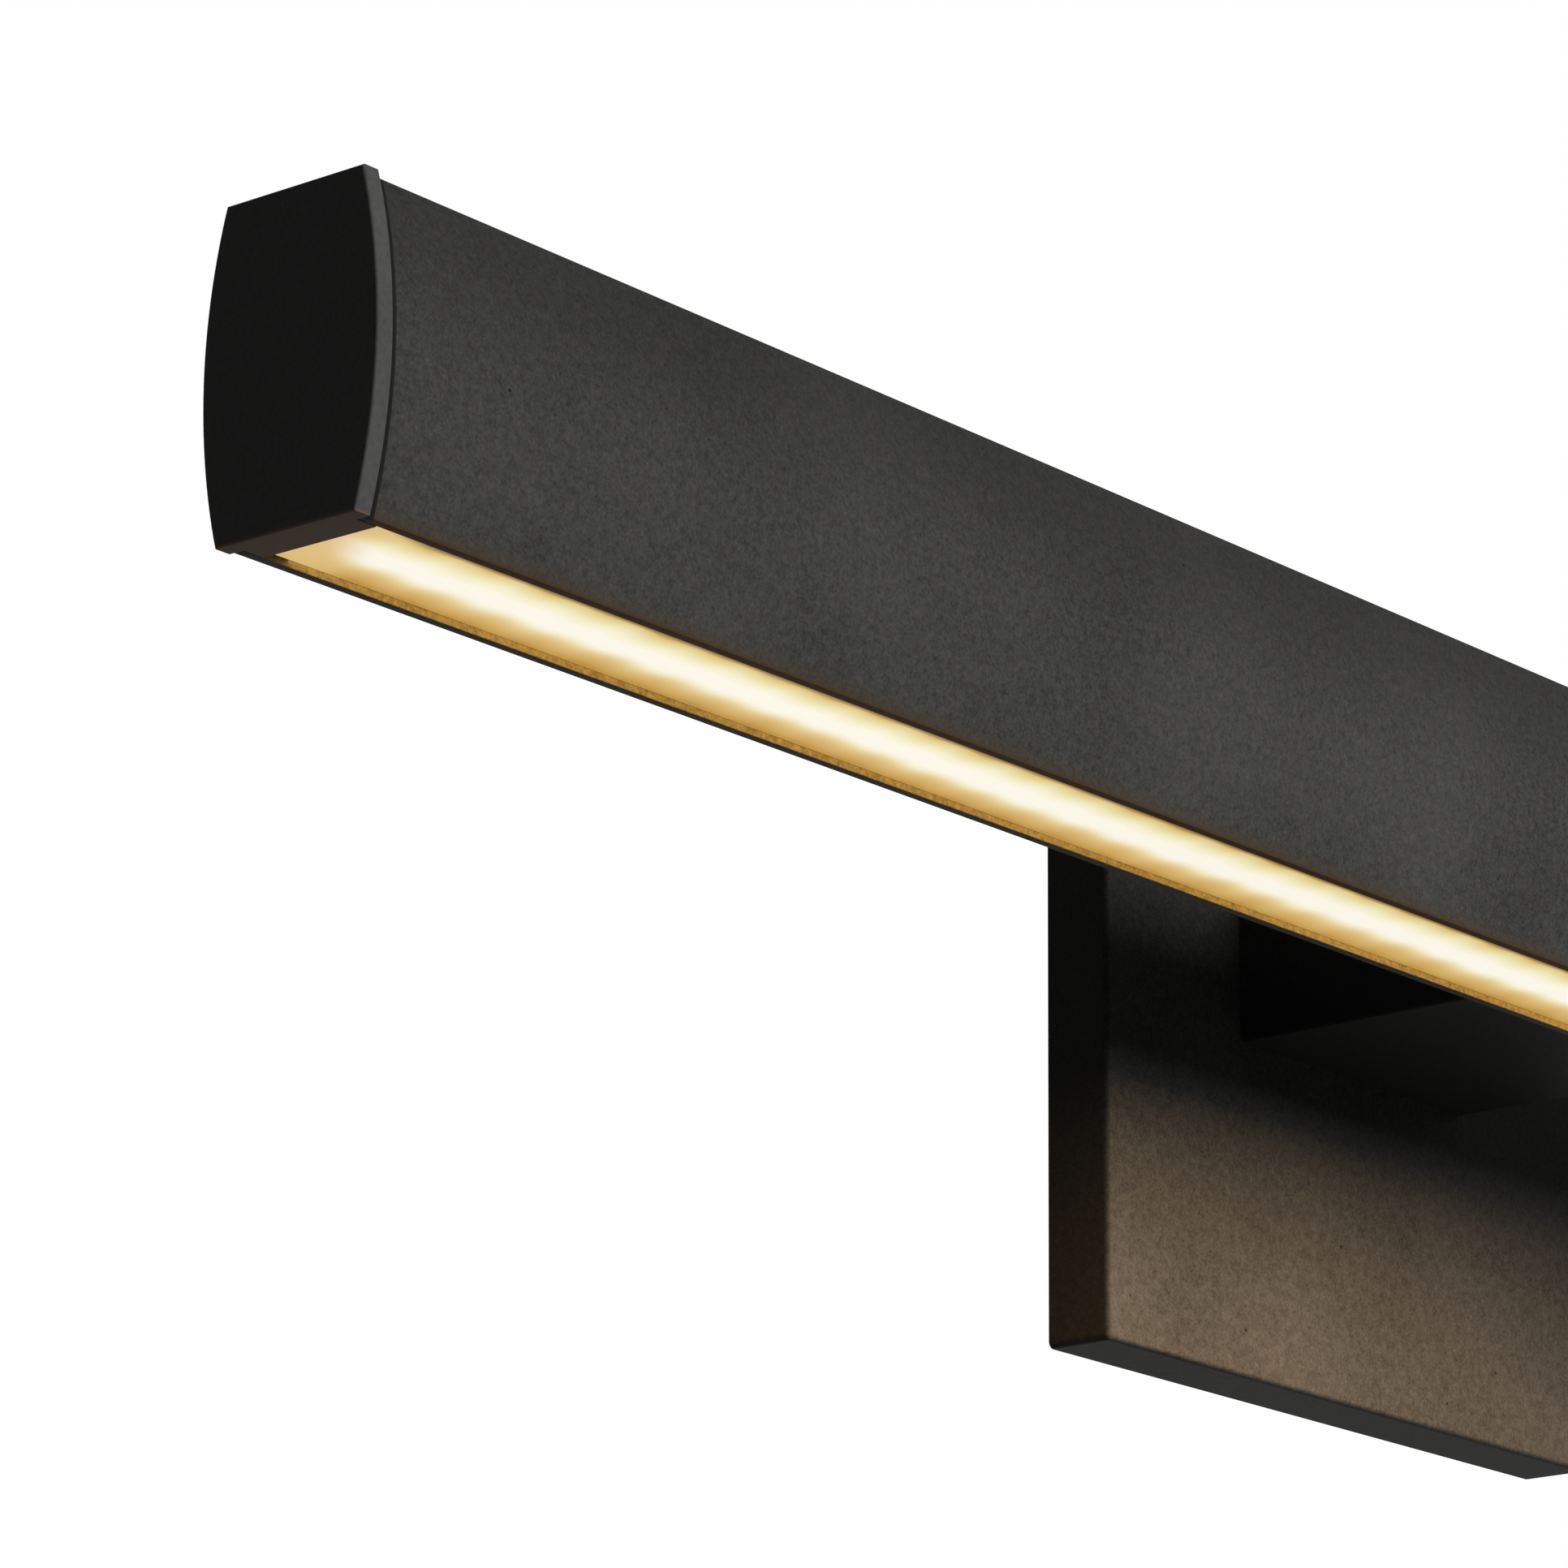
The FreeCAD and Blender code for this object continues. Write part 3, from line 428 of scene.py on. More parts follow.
# The lead's insulation is green with a yellow stripe that winds about its length.
stripe_pitch = 0.012
stripe_slant = 900.0          # turns the stripe goes round by, in radians for each metre
stripe_yellow = (0.80, 0.62, 0.05)
green_wire = Finish("green_wire")
lead_skin = green_wire.noise(0.0005)
along_lead = green_wire.axis("Z") * (2 * math.pi / stripe_pitch)
stripe = (along_lead + green_wire.axis("Y") * stripe_slant).sine().clear(0.55, 0.70)
lead_green = green_wire.mix(lead_skin, (0.03, 0.20, 0.05), (0.05, 0.27, 0.08))
green_wire.feed("Base Color", green_wire.mix(stripe, lead_green, stripe_yellow))
green_wire.feed("Roughness", 0.35 + lead_skin * 0.15)
green_wire.bump(lead_skin, 0.00002)
dress(green_wire, "earth_lead")

green_head = moulded("green_head", (0.04, 0.16, 0.07), (0.09, 0.28, 0.12), 0.3,
                     constants={"Metallic": 0.6})
dress(green_head, "earth_screws")


# ---- arm -----------------------------------------------------------------------------------
# A hollow aluminium block, coated like the plate. Its front end is a saddle cut to the bar's
# bowed back, and bosses in its rear corners take four screws from inside the plate.
class Outline:
    """A closed outline across the bar, drawn by extruding and spinning its last corner."""

    def __init__(self, mesh, x, y, z):
        self.mesh = mesh
        self.first = self.last = mesh.verts.new((x, y, z))
        self.edges = []

    def line(self, y, z):
        grown = bmesh.ops.extrude_vert_indiv(self.mesh, verts=[self.last])
        self.edges += grown["edges"]
        self.last = grown["verts"][0]
        self.last.co.y, self.last.co.z = y, z
        return self

    def arc(self, centre_y, end_z, steps=24):
        """Follows a circle about (centre_y, 0) to a height, on the side where it already is."""
        y, z = self.last.co.y - centre_y, self.last.co.z
        radius = math.hypot(y, z)
        end_y = math.copysign(math.sqrt(radius ** 2 - end_z ** 2), y)
        turn = math.atan2(y * end_z - z * end_y, y * end_y + z * end_z)
        centre = (self.last.co.x, centre_y, 0)
        before = set(self.mesh.edges)
        spun = bmesh.ops.spin(self.mesh, geom=[self.last], cent=centre, axis=(1, 0, 0),
                              angle=turn, steps=steps, use_merge=False)
        self.last = next(item for item in spun["geom_last"]
                         if isinstance(item, bmesh.types.BMVert))
        self.edges += [edge for edge in self.mesh.edges if edge not in before]
        return self

    def close(self):
        self.edges.append(self.mesh.edges.new((self.last, self.first)))
        return self.edges


def extrude_section(mesh, edges, length):
    """Fills the outlines, the inner ones left open, and draws them out along the bar."""
    filled = bmesh.ops.triangle_fill(mesh, use_beauty=True, use_dissolve=True, edges=edges,
                                     normal=(1, 0, 0))["geom"]
    faces = [item for item in filled if isinstance(item, bmesh.types.BMFace)]
    grown = bmesh.ops.extrude_face_region(mesh, geom=faces)["geom"]
    moved = [item for item in grown if isinstance(item, bmesh.types.BMVert)]
    bmesh.ops.translate(mesh, vec=(length, 0, 0), verts=moved)


bar_low, bar_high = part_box("bar_housing")
bar_depth = 0.020
bar_bulge = 0.0027
bow_radius = (bar_high.z ** 2 + bar_bulge ** 2) / (2 * bar_bulge)
bar_back_y = bar_high.y - bar_bulge
bar_front_y = bar_back_y - bar_depth
back_centre_y = bar_high.y - bow_radius
front_centre_y = bar_front_y - bar_bulge + bow_radius

arm_low, arm_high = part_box("arm")
arm_wall = 0.0025
saddle_wall = 0.003
arm_edge_round = 0.0008
arm_boss_width = 0.008
arm_boss_depth = 0.014
saddle_inner_y = bar_high.y + saddle_wall
arm_screw_bore = 0.00206


def bow_y(side, z, grow=0.0):
    """Y of the bar's bowed face at a height: side -1 is the front, and 1 the back."""
    centre = back_centre_y if side > 0 else front_centre_y
    return centre + side * math.sqrt((bow_radius + grow) ** 2 - z ** 2)


block = bmesh.new()
outline = Outline(block, arm_low.x, arm_high.y, arm_low.z)
outline.line(bow_y(1, arm_low.z), arm_low.z).arc(back_centre_y, arm_high.z, steps=12)
outline.line(arm_high.y, arm_high.z)
extrude_section(block, outline.close(), arm_high.x - arm_low.x)
bmesh.ops.recalc_face_normals(block, faces=block.faces[:])
long_edges = [edge for edge in block.edges
              if near(edge.verts[0].co.z, edge.verts[1].co.z)
              and near(edge.verts[0].co.x, edge.verts[1].co.x)]
round_edges(block, long_edges, arm_edge_round)
rear = [face for face in block.faces if near(face.calc_center_median().y, arm_high.y)]
bmesh.ops.inset_region(block, faces=rear, thickness=arm_wall, use_even_offset=True)
press(block, rear, (0, saddle_inner_y - arm_high.y, 0))

# Painted shade: the coat deepens to black down the arm's sides and over its underside, which
# lie in the bar's shadow.
arm_painted_shade = (0.004, 0.004, 0.004)
arm_coat, coat = powder("arm_powder_coat")
up_arm = arm_coat.axis("Z").clear(arm_low.z, arm_high.z)
arm_coat.feed("Base Color", arm_coat.mix(0.88 - up_arm * 0.56, coat, arm_painted_shade))
arm = new_piece("arm_block", block, arm_coat, "arm")
for side in (-1, 1):
    inner = side * (arm_high.x - arm_wall - arm_boss_width)
    outer = side * (arm_high.x - arm_wall / 2)
    join_box(arm, (min(inner, outer), arm_high.y - arm_boss_depth, arm_low.z + arm_wall / 2),
             (max(inner, outer), arm_high.y, arm_high.z - arm_wall / 2))

bar_screw_x = 0.0135
bar_screw_hole_radius = 0.00225
bar_wire_hole_radius = 0.0048
holes = bmesh.new()
for x in (-arm_screw_x, arm_screw_x):
    for z in (-arm_screw_z, arm_screw_z):
        rod(holes, (x, arm_high.y - arm_boss_depth - over, z), (x, arm_high.y + over, z),
            arm_screw_bore)
rod(holes, (0, bar_back_y, 0), (0, saddle_inner_y + over, 0), bar_wire_hole_radius)
for x in (-bar_screw_x, bar_screw_x):
    rod(holes, (x, bar_back_y, 0), (x, saddle_inner_y + over, 0), bar_screw_hole_radius)
combine(arm, "DIFFERENCE", holes)
shade_rounded(arm)


# ---- grommets ------------------------------------------------------------------------------
# Black rubber bushes, pushed into the holes at the two ends of the arm for the supply wires.
rubber = moulded("black_rubber", (0.012, 0.012, 0.012), (0.028, 0.028, 0.027), 0.65, 0.0008)
dress(rubber, "plate_grommet", "bar_grommet")


# ---- bar housing ---------------------------------------------------------------------------
# One aluminium extrusion, powder coated like the plate. A shelf parts the driver's chamber
# from the light chamber below it, and two feet with grooves leave a mouth for the diffuser.
bar_wall = 0.0018
front_lip, back_lip = 0.0013, 0.0014
foot_height = 0.0024          # from the bar's underside to its grooves
groove_depth, groove_height = 0.0008, 0.0014
foot_cover = 0.0015           # of each foot, above its groove
shelf_height = 0.012
channel_depth = 0.0073        # from the bar's back to the front of the nuts' channel
channel_wall = 0.0012
channel_land = 0.003          # of the wall that the nuts pull on
channel_low_z, channel_high_z = -0.0047, 0.0047
rib_low_z, rib_high_z = 0.0062, 0.0074
mouth_front_y = bar_front_y + front_lip
mouth_back_y = bar_back_y - back_lip
groove_low_z = bar_low.z + foot_height
groove_high_z = groove_low_z + groove_height
chamber_low_z = groove_high_z + foot_cover
shelf_low_z = bar_low.z + shelf_height
shelf_high_z = shelf_low_z + bar_wall
channel_front_y = bar_high.y - channel_depth
channel_hook_y = channel_front_y + channel_wall
channel_land_y = bar_high.y - channel_land
bar_edge_round = 0.0003
lip_edge_round = 0.00012
cap_peg_radius = 0.0015       # the caps' pegs push into two ports in the top corners
fit = 0.0001                  # sliding clearance between pieces

extrusion = bmesh.new()
outline = Outline(extrusion, bar_low.x, bar_front_y, bar_low.z)
outline.arc(front_centre_y, bar_high.z, steps=32)
outline.line(bar_back_y, bar_high.z)
outline.arc(back_centre_y, bar_low.z, steps=32)
outline.line(mouth_back_y, bar_low.z)
outline.line(mouth_back_y, groove_low_z)
outline.line(mouth_back_y + groove_depth, groove_low_z)
outline.line(mouth_back_y + groove_depth, groove_high_z)
outline.line(mouth_back_y, groove_high_z)
outline.line(mouth_back_y, chamber_low_z)
outline.line(bow_y(1, chamber_low_z, -bar_wall), chamber_low_z)
outline.arc(back_centre_y, shelf_low_z, steps=6)
outline.line(bow_y(-1, shelf_low_z, -bar_wall), shelf_low_z)
outline.arc(front_centre_y, chamber_low_z, steps=6)
outline.line(mouth_front_y, chamber_low_z)
outline.line(mouth_front_y, groove_high_z)
outline.line(mouth_front_y - groove_depth, groove_high_z)
outline.line(mouth_front_y - groove_depth, groove_low_z)
outline.line(mouth_front_y, groove_low_z)
outline.line(mouth_front_y, bar_low.z)
section = outline.close()
roof_z = bar_high.z - bar_wall
outline = Outline(extrusion, bar_low.x, bow_y(-1, shelf_high_z, -bar_wall), shelf_high_z)
outline.arc(front_centre_y, roof_z, steps=16)
outline.line(bow_y(1, roof_z, -bar_wall), roof_z)
outline.arc(back_centre_y, rib_high_z, steps=6)
outline.line(channel_front_y, rib_high_z)
outline.line(channel_front_y, channel_high_z)
outline.line(channel_hook_y, channel_high_z)
outline.line(channel_hook_y, rib_low_z)
outline.line(channel_land_y, rib_low_z)
outline.line(channel_land_y, shelf_high_z)
outline.line(channel_hook_y, shelf_high_z)
outline.line(channel_hook_y, channel_low_z)
outline.line(channel_front_y, channel_low_z)
outline.line(channel_front_y, shelf_high_z)
section += outline.close()
extrude_section(extrusion, section, bar_high.x - bar_low.x)
bmesh.ops.recalc_face_normals(extrusion, faces=extrusion.faces[:])


def runs_along_bar(edge):
    return abs(edge.verts[0].co.x - edge.verts[1].co.x) > 0.1


top_corners = [edge for edge in extrusion.edges if runs_along_bar(edge)
               and near(edge.verts[0].co.z, bar_high.z)]
round_edges(extrusion, top_corners, bar_edge_round)
lip_edges = [edge for edge in extrusion.edges if runs_along_bar(edge)
             and near(edge.verts[0].co.z, bar_low.z)]
round_edges(extrusion, lip_edges, lip_edge_round, segments=2)

# Painted light and shade: a painted shadow line darkens the coat at the cut ends next to the
# caps, painted shade deepens it to black up the faces, and the strip's warm light is painted
# along the front of the mouth, most of all on the lip's edge.
top_painted_shade = (0.018, 0.0175, 0.017)
lip_painted_glow = (0.070, 0.048, 0.028)
edge_painted_glow = (0.072, 0.034, 0.011)
end_painted_shadow = (0.012, 0.012, 0.012)
shade_from_z = -0.004         # the deepening begins a little below the bar's middle
glow_from_z = bar_low.z + 0.0002
edge_to_z = bar_low.z + 0.0006
mouth_blur = 0.001
end_inner_x, end_outer_x = bar_high.x - 0.0014, bar_high.x - 0.0011
bar_coat, coat = powder("bar_powder_coat")
height = bar_coat.axis("Z")
# Painted shade: the coat darkens towards the bar's top.
up_face = height.clear(shade_from_z, bar_high.z)
coat = bar_coat.mix(up_face * 0.5, coat, top_painted_shade)
in_front = 1.0 - bar_coat.axis("Y").clear(mouth_front_y, mouth_front_y + mouth_blur)
# Painted light: the strip's warm glow is painted on the lowest band of the bar's front.
lip_glow_share = (1.0 - height.clear(glow_from_z, groove_low_z)) * in_front
coat = bar_coat.mix(lip_glow_share * 0.5, coat, lip_painted_glow)
# Painted light: a golden glow is painted on the front lip's edge.
edge_glow_share = (1.0 - height.clear(bar_low.z, edge_to_z)) * in_front
coat = bar_coat.mix(edge_glow_share * 0.8, coat, edge_painted_glow)
# Painted shadow: a thin dark line is painted on the coat beside each cap.
at_end = abs(bar_coat.axis("X")).clear(end_inner_x, end_outer_x)
bar_coat.feed("Base Color", bar_coat.mix(at_end, coat, end_painted_shadow))
housing = new_piece("bar_extrusion", extrusion, bar_coat, "bar_housing")
port_radius = cap_peg_radius + fit + bar_wall / 2
peg_z = roof_z - port_radius + bar_wall / 4
peg_ys = [bow_y(side, peg_z, -bar_wall) - side * (port_radius - bar_wall / 4)
          for side in (-1, 1)]
holes = bmesh.new()
for y in peg_ys:
    join_rod(housing, (bar_low.x, y, peg_z), (bar_high.x, y, peg_z), port_radius)
    rod(holes, (bar_low.x - over, y, peg_z), (bar_high.x + over, y, peg_z),
        cap_peg_radius + fit)
combine(housing, "DIFFERENCE", holes)
output_low, output_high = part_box("output_wires")
output_radius = 0.0008
output_spacing = 0.0056
output_hole_radius = 0.0011
output_x = output_high.x - output_radius
output_ys = (output_low.y + output_radius, output_low.y + output_radius + output_spacing)
holes = bmesh.new()
rod(holes, (0, channel_land_y - over, 0), (0, bar_high.y + over, 0), bar_wire_hole_radius)
for x in (-bar_screw_x, bar_screw_x):
    rod(holes, (x, channel_land_y - over, 0), (x, bar_high.y + over, 0),
        bar_screw_hole_radius)
for y in output_ys:
    rod(holes, (output_x, y, shelf_low_z - over), (output_x, y, shelf_high_z + over),
        output_hole_radius)
combine(housing, "DIFFERENCE", holes)
shade_rounded(housing)


# ---- driver --------------------------------------------------------------------------------
# A slim constant-voltage driver, stuck on the shelf with foam tape: a white moulded case and
# lid, and inside them a green board with its transformer and three sleeved capacitors.
dress(white_plastic, "driver_case", "driver_lid")

mask_green = ((0.01, 0.09, 0.03), (0.02, 0.14, 0.05))
run_green = (0.04, 0.22, 0.08)
green_board = Finish("green_board", {"Coat Weight": 0.4, "Coat Roughness": 0.15})
weave = green_board.noise(0.0005, detail=2.0)
board_run = green_board.add("ShaderNodeTexBrick", {"offset": 0.5},
                            {"Vector": green_board.place, "Scale": 120.0, "Mortar Size": 0.05,
                             "Color1": (0.0, 0.0, 0.0, 1.0), "Color2": (0.2, 0.2, 0.2, 1.0),
                             "Mortar": (1.0, 1.0, 1.0, 1.0)}, output="Fac")
mask = green_board.mix(weave, *mask_green)
green_board.feed("Base Color", green_board.mix(board_run * 0.6, mask, run_green))
green_board.feed("Roughness", 0.3 + weave * 0.2)
green_board.bump(board_run + weave * 0.3, fine_depth)
dress(green_board, "driver_board")

ferrite = moulded("ferrite", (0.02, 0.02, 0.021), (0.05, 0.05, 0.052), 0.45)
dress(ferrite, "driver_transformer")
sleeve = moulded("capacitor_sleeve", (0.01, 0.012, 0.03), (0.02, 0.024, 0.05), 0.3)
dress(sleeve, "driver_capacitors")
foam = moulded("foam_tape", (0.50, 0.50, 0.48), (0.72, 0.72, 0.70), 0.8, 0.0003, 0.0001)
dress(foam, "driver_tape")


# ---- light source --------------------------------------------------------------------------
# Two rigid boards end to end on a heat-conducting tape under the shelf, joined by solder
# links, with a row of warm white packages at an even pitch.
board_low, board_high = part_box("led_board_right")
track_inner, track_outer = 0.0033, 0.0049
track_blur = 0.0001
package_half_window = 0.0012
mask_white = ((0.74, 0.73, 0.70), (0.84, 0.83, 0.80))
track_colour = (0.62, 0.55, 0.42)
package_body = (0.75, 0.74, 0.70)
phosphor_yellow = (0.80, 0.60, 0.12)
body_glow = (0.25, 0.20, 0.13)
phosphor_glow = ((0.95, 0.80, 0.50), (1.0, 0.90, 0.66))
solder_grey = ((0.55, 0.55, 0.54), (0.72, 0.72, 0.71))
white_board = Finish("white_board", {"Coat Weight": 0.3, "Coat Roughness": 0.2})
board_skin = white_board.noise(0.0005, detail=2.0)
board_mid_y = (board_low.y + board_high.y) / 2
from_row = abs(white_board.axis("Y") - board_mid_y)
track = (from_row.clear(track_inner - track_blur, track_inner + track_blur)
         * (1.0 - from_row.clear(track_outer - track_blur, track_outer + track_blur)))
mask = white_board.mix(board_skin, *mask_white)
white_board.feed("Base Color", white_board.mix(track * 0.35, mask, track_colour))
white_board.feed("Roughness", 0.35 + board_skin * 0.15)
white_board.bump(track + board_skin * 0.1, fine_depth)
dress(white_board, "led_board_left", "led_board_right")

led_package = Finish("led_package", {"Emission Strength": 1.0})
phosphor = led_package.noise(0.0004, detail=3.0)
package_y = abs(led_package.axis("Y") - board_mid_y)
window = 1.0 - package_y.clear(package_half_window - track_blur,
                               package_half_window + track_blur)
glow = led_package.mix(phosphor, *phosphor_glow)
led_package.feed("Base Color", led_package.mix(window, package_body, phosphor_yellow))
led_package.feed("Emission Color", led_package.mix(window, body_glow, glow))
led_package.feed("Roughness", 0.3 + phosphor * 0.2)
dress(led_package, "led_chips")

solder = Finish("solder", {"Metallic": 1.0})
dull = solder.noise(0.0005, detail=3.0)
solder.feed("Base Color", solder.mix(dull, *solder_grey))
solder.feed("Roughness", 0.25 + dull * 0.25)
solder.bump(dull, 0.00005)
dress(solder, "board_links")

tape = moulded("tape", (0.30, 0.31, 0.32), (0.42, 0.43, 0.44), 0.5, 0.0004)
dress(tape, "thermal_tape")


# ---- wires ---------------------------------------------------------------------------------
# Stranded wires in soft plastic: black from the terminal block through the arm to the driver,
# and white from the driver down through the shelf to the light boards.
black_wire = moulded("black_wire", (0.012, 0.012, 0.012), (0.03, 0.03, 0.03), 0.35, 0.0005)
dress(black_wire, "input_wires")
white_wire = moulded("white_wire", (0.62, 0.61, 0.58), (0.76, 0.75, 0.72), 0.35, 0.0005)
dress(white_wire, "output_wires")


# ---- diffuser ------------------------------------------------------------------------------
# An opal acrylic strip that slides in the housing's grooves, a little above its feet. It is
# lit: brightest under the row of packages, golden along its edges and at its two ends.
strip_low, strip_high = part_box("diffuser")
lens_fit = 0.00001
lens_edge_round = 0.00002
lens_front_y = mouth_front_y + lens_fit
lens_back_y = mouth_back_y - lens_fit
lens_width = lens_back_y - lens_front_y
flange_low_z = groove_low_z + fit

lens = bmesh.new()
outline = Outline(lens, strip_low.x, lens_front_y, strip_low.z)
outline.line(lens_front_y, flange_low_z)
outline.line(strip_low.y, flange_low_z)
outline.line(strip_low.y, strip_high.z)
outline.line(strip_high.y, strip_high.z)
outline.line(strip_high.y, flange_low_z)
outline.line(lens_back_y, flange_low_z)
outline.line(lens_back_y, strip_low.z)
extrude_section(lens, outline.close(), strip_high.x - strip_low.x)
bmesh.ops.recalc_face_normals(lens, faces=lens.faces[:])
lens_edges = [edge for edge in lens.edges if runs_along_bar(edge)
              and near(edge.verts[0].co.z, strip_low.z)]
round_edges(lens, lens_edges, lens_edge_round, segments=2)

# Colours across the strip, from its front edge at 0 to its back edge at 1.
led_pitch = 0.010
ripple_slant = 2.4
drift_size = 0.012
lip_shade = (0.16, 0.085, 0.018)
end_gold = (0.68, 0.46, 0.17)
opal_base = ((0.12, 0.10, 0.07), (0.15, 0.13, 0.09))
bright_middle = 0.40
cross_colours = [(0.115, (0.500, 0.320, 0.066)),
                 (0.140, (0.630, 0.450, 0.130)),
                 (0.175, (0.700, 0.550, 0.210)),
                 (0.225, (0.750, 0.640, 0.320)),
                 (0.280, (0.805, 0.730, 0.450)),
                 (0.340, (0.860, 0.800, 0.580)),
                 (0.400, (0.895, 0.845, 0.685)),
                 (0.450, (0.915, 0.870, 0.765)),
                 (0.590, (0.915, 0.870, 0.765)),
                 (0.635, (0.890, 0.835, 0.670)),
                 (0.685, (0.820, 0.730, 0.480)),
                 (0.740, (0.740, 0.590, 0.280)),
                 (0.793, (0.675, 0.480, 0.180)),
                 (0.846, (0.620, 0.405, 0.125)),
                 (0.896, (0.575, 0.355, 0.092)),
                 (0.942, (0.530, 0.310, 0.068)),
                 (0.985, (0.470, 0.260, 0.048))]
opal = Finish("opal_diffuser", {"Emission Strength": 1.0, "Specular IOR Level": 0.06})
along = opal.axis("X")
across = (opal.axis("Y") - lens_front_y) / lens_width
ripple = (along * (2 * math.pi / led_pitch) + across * ripple_slant).sine()
drift = opal.noise(drift_size, detail=1.0) - 0.5
shifted = across + ripple * 0.016 + drift * 0.085
band = opal.add("ShaderNodeValToRGB", {"stops": cross_colours}, {"Fac": shifted},
                output="Color")
off_lip = across.clear(0.090, 0.155)
band = opal.mix(off_lip, lip_shade, band)
from_end = strip_high.x - abs(along)
end_round = from_end - abs(across - bright_middle) * 0.012 + drift * 0.002
end_fade = 1.0 - end_round.clear(-0.001, 0.008)
opal.feed("Emission Color", opal.mix(end_fade, band, end_gold))
opal_skin = opal.noise(0.0007)
opal.feed("Base Color", opal.mix(opal_skin, *opal_base))
opal.feed("Roughness", 0.4 + opal_skin * 0.1)
opal.bump(opal_skin, 0.00001)
diffuser = new_piece("diffuser_strip", lens, opal, "diffuser")
shade_rounded(diffuser)


# ---- end caps ------------------------------------------------------------------------------
# Two cast caps in a smoother, deeper black. Each stands a little proud of the bar, closes the
# mouth with a tongue, and is held by a spigot in the light chamber and two pegs above.
cap_low, cap_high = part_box("right_end_cap")
cap_face_x = bar_high.x
cap_proud = cap_high.z - bar_high.z
cap_edge_round = 0.00035
cap_tongue = 0.0032
cap_spigot = 0.0055
spigot_front_y = bow_y(-1, chamber_low_z, -bar_wall - fit)
spigot_back_y = bow_y(1, chamber_low_z, -bar_wall - fit)
cap_foot_height = 0.0005
cap_dark = (0.066, 0.066, 0.064)
cap_light = (0.096, 0.096, 0.093)
foot_painted_glow = (0.165, 0.110, 0.070)
black_cap = Finish("black_cap", {"Specular IOR Level": 0.02})
cap_skin = black_cap.noise(0.0008, detail=3.0)
cap_cloud = black_cap.noise(0.009, detail=2.0)
cap_tone = (cap_skin - 0.5) * 1.6 + (cap_cloud - 0.5) * 0.8 + 0.5
cap_colour = black_cap.mix(cap_tone.clamp(), cap_dark, cap_light)
# Painted light: the strip's warm glow is painted brown on the cap's lowest edge.
above_foot = black_cap.axis("Z").clear(cap_low.z, cap_low.z + cap_foot_height)
cap_colour = black_cap.mix((1.0 - above_foot) * 0.7, cap_colour, foot_painted_glow)
black_cap.feed("Base Color", cap_colour)
black_cap.feed("Roughness", 0.5 + cap_skin * 0.12)
black_cap.bump(cap_skin, 0.00002)

for side, node in ((-1, "left_end_cap"), (1, "right_end_cap")):
    cap = bmesh.new()
    outline = Outline(cap, cap_face_x, bow_y(-1, cap_low.z, cap_proud), cap_low.z)
    outline.arc(front_centre_y, cap_high.z, steps=32)
    outline.line(bow_y(1, cap_high.z, cap_proud), cap_high.z)
    outline.arc(back_centre_y, cap_low.z, steps=32)
    extrude_section(cap, outline.close(), cap_high.x - cap_face_x)
    bmesh.ops.recalc_face_normals(cap, faces=cap.faces[:])
    rim = edges_where(cap, lambda at: near(at.x, cap_high.x))
    rim = [edge for edge in rim if len(edge.link_faces) == 2 and edge.calc_face_angle() > 1.0]
    round_edges(cap, rim, cap_edge_round)
    if side < 0:
        bmesh.ops.scale(cap, vec=(-1, 1, 1), verts=cap.verts[:])
    piece = new_piece(node + "_casting", cap, black_cap, node)
    root_x = side * (cap_face_x + cap_tongue / 4)
    tongue_x = side * (cap_face_x - cap_tongue)
    spigot_x = side * (cap_face_x - cap_spigot)
    join_box(piece, (min(root_x, tongue_x), mouth_front_y + fit, cap_low.z),
             (max(root_x, tongue_x), mouth_back_y - fit, chamber_low_z + 2 * fit))
    join_box(piece, (min(root_x, spigot_x), spigot_front_y, chamber_low_z + fit),
             (max(root_x, spigot_x), spigot_back_y, shelf_low_z - fit))
    for y in peg_ys:
        join_rod(piece, (side * cap_low.x, y, peg_z), (root_x, y, peg_z), cap_peg_radius,
                 segments=24)
    shade_rounded(piece)


# ---- floor, light and camera ---------------------------------------------------------------
# A plain pale floor well below the light, a white surround, two soft lamps, and the strip's
# own light, which falls on the back plate.
floor_z = -1.30
floor_half = 6.0
floor_dark = (0.80, 0.80, 0.79)
floor_light = (0.82, 0.82, 0.81)
floor_unseen = (0.20, 0.20, 0.20)
floor_glow = (0.84, 0.84, 0.84)
black = (0.0, 0.0, 0.0)
ground = bmesh.new()
bmesh.ops.create_grid(ground, x_segments=1, y_segments=1, size=floor_half)
bmesh.ops.translate(ground, vec=(0, 0, floor_z), verts=ground.verts[:])
floor_data = bpy.data.meshes.new("floor")
ground.to_mesh(floor_data)
ground.free()
floor = bpy.data.objects.new("floor", floor_data)
bpy.context.scene.collection.objects.link(floor)
floor_finish = Finish("floor", {"Roughness": 0.8, "Emission Strength": 1.0})
floor_cloud = floor_finish.noise(0.5)
seen_straight = floor_finish.add("ShaderNodeLightPath", output="Is Camera Ray")
seen_mirrored = floor_finish.add("ShaderNodeLightPath", output="Is Glossy Ray")
seen_through = floor_finish.add("ShaderNodeLightPath", output="Is Transmission Ray")
seen = seen_straight.most(seen_mirrored).most(seen_through)
floor_tone = floor_finish.mix(floor_cloud, floor_dark, floor_light)
floor_finish.feed("Base Color", floor_finish.mix(seen, floor_unseen, floor_tone))
floor_finish.feed("Emission Color", floor_finish.mix(seen, black, floor_glow))
clear = floor_finish.add("ShaderNodeBsdfTransparent")
underside = floor_finish.add("ShaderNodeNewGeometry", output="Backfacing")
shown = Shade(floor_finish, floor_finish.surface.outputs[0])
floor_mix = floor_finish.add("ShaderNodeMixShader", {}, {0: underside, 1: shown, 2: clear})
floor_output = floor_finish.tree.nodes["Material Output"]
floor_finish.tree.links.new(floor_mix.socket, floor_output.inputs["Surface"])
floor_data.materials.append(floor_finish.material)

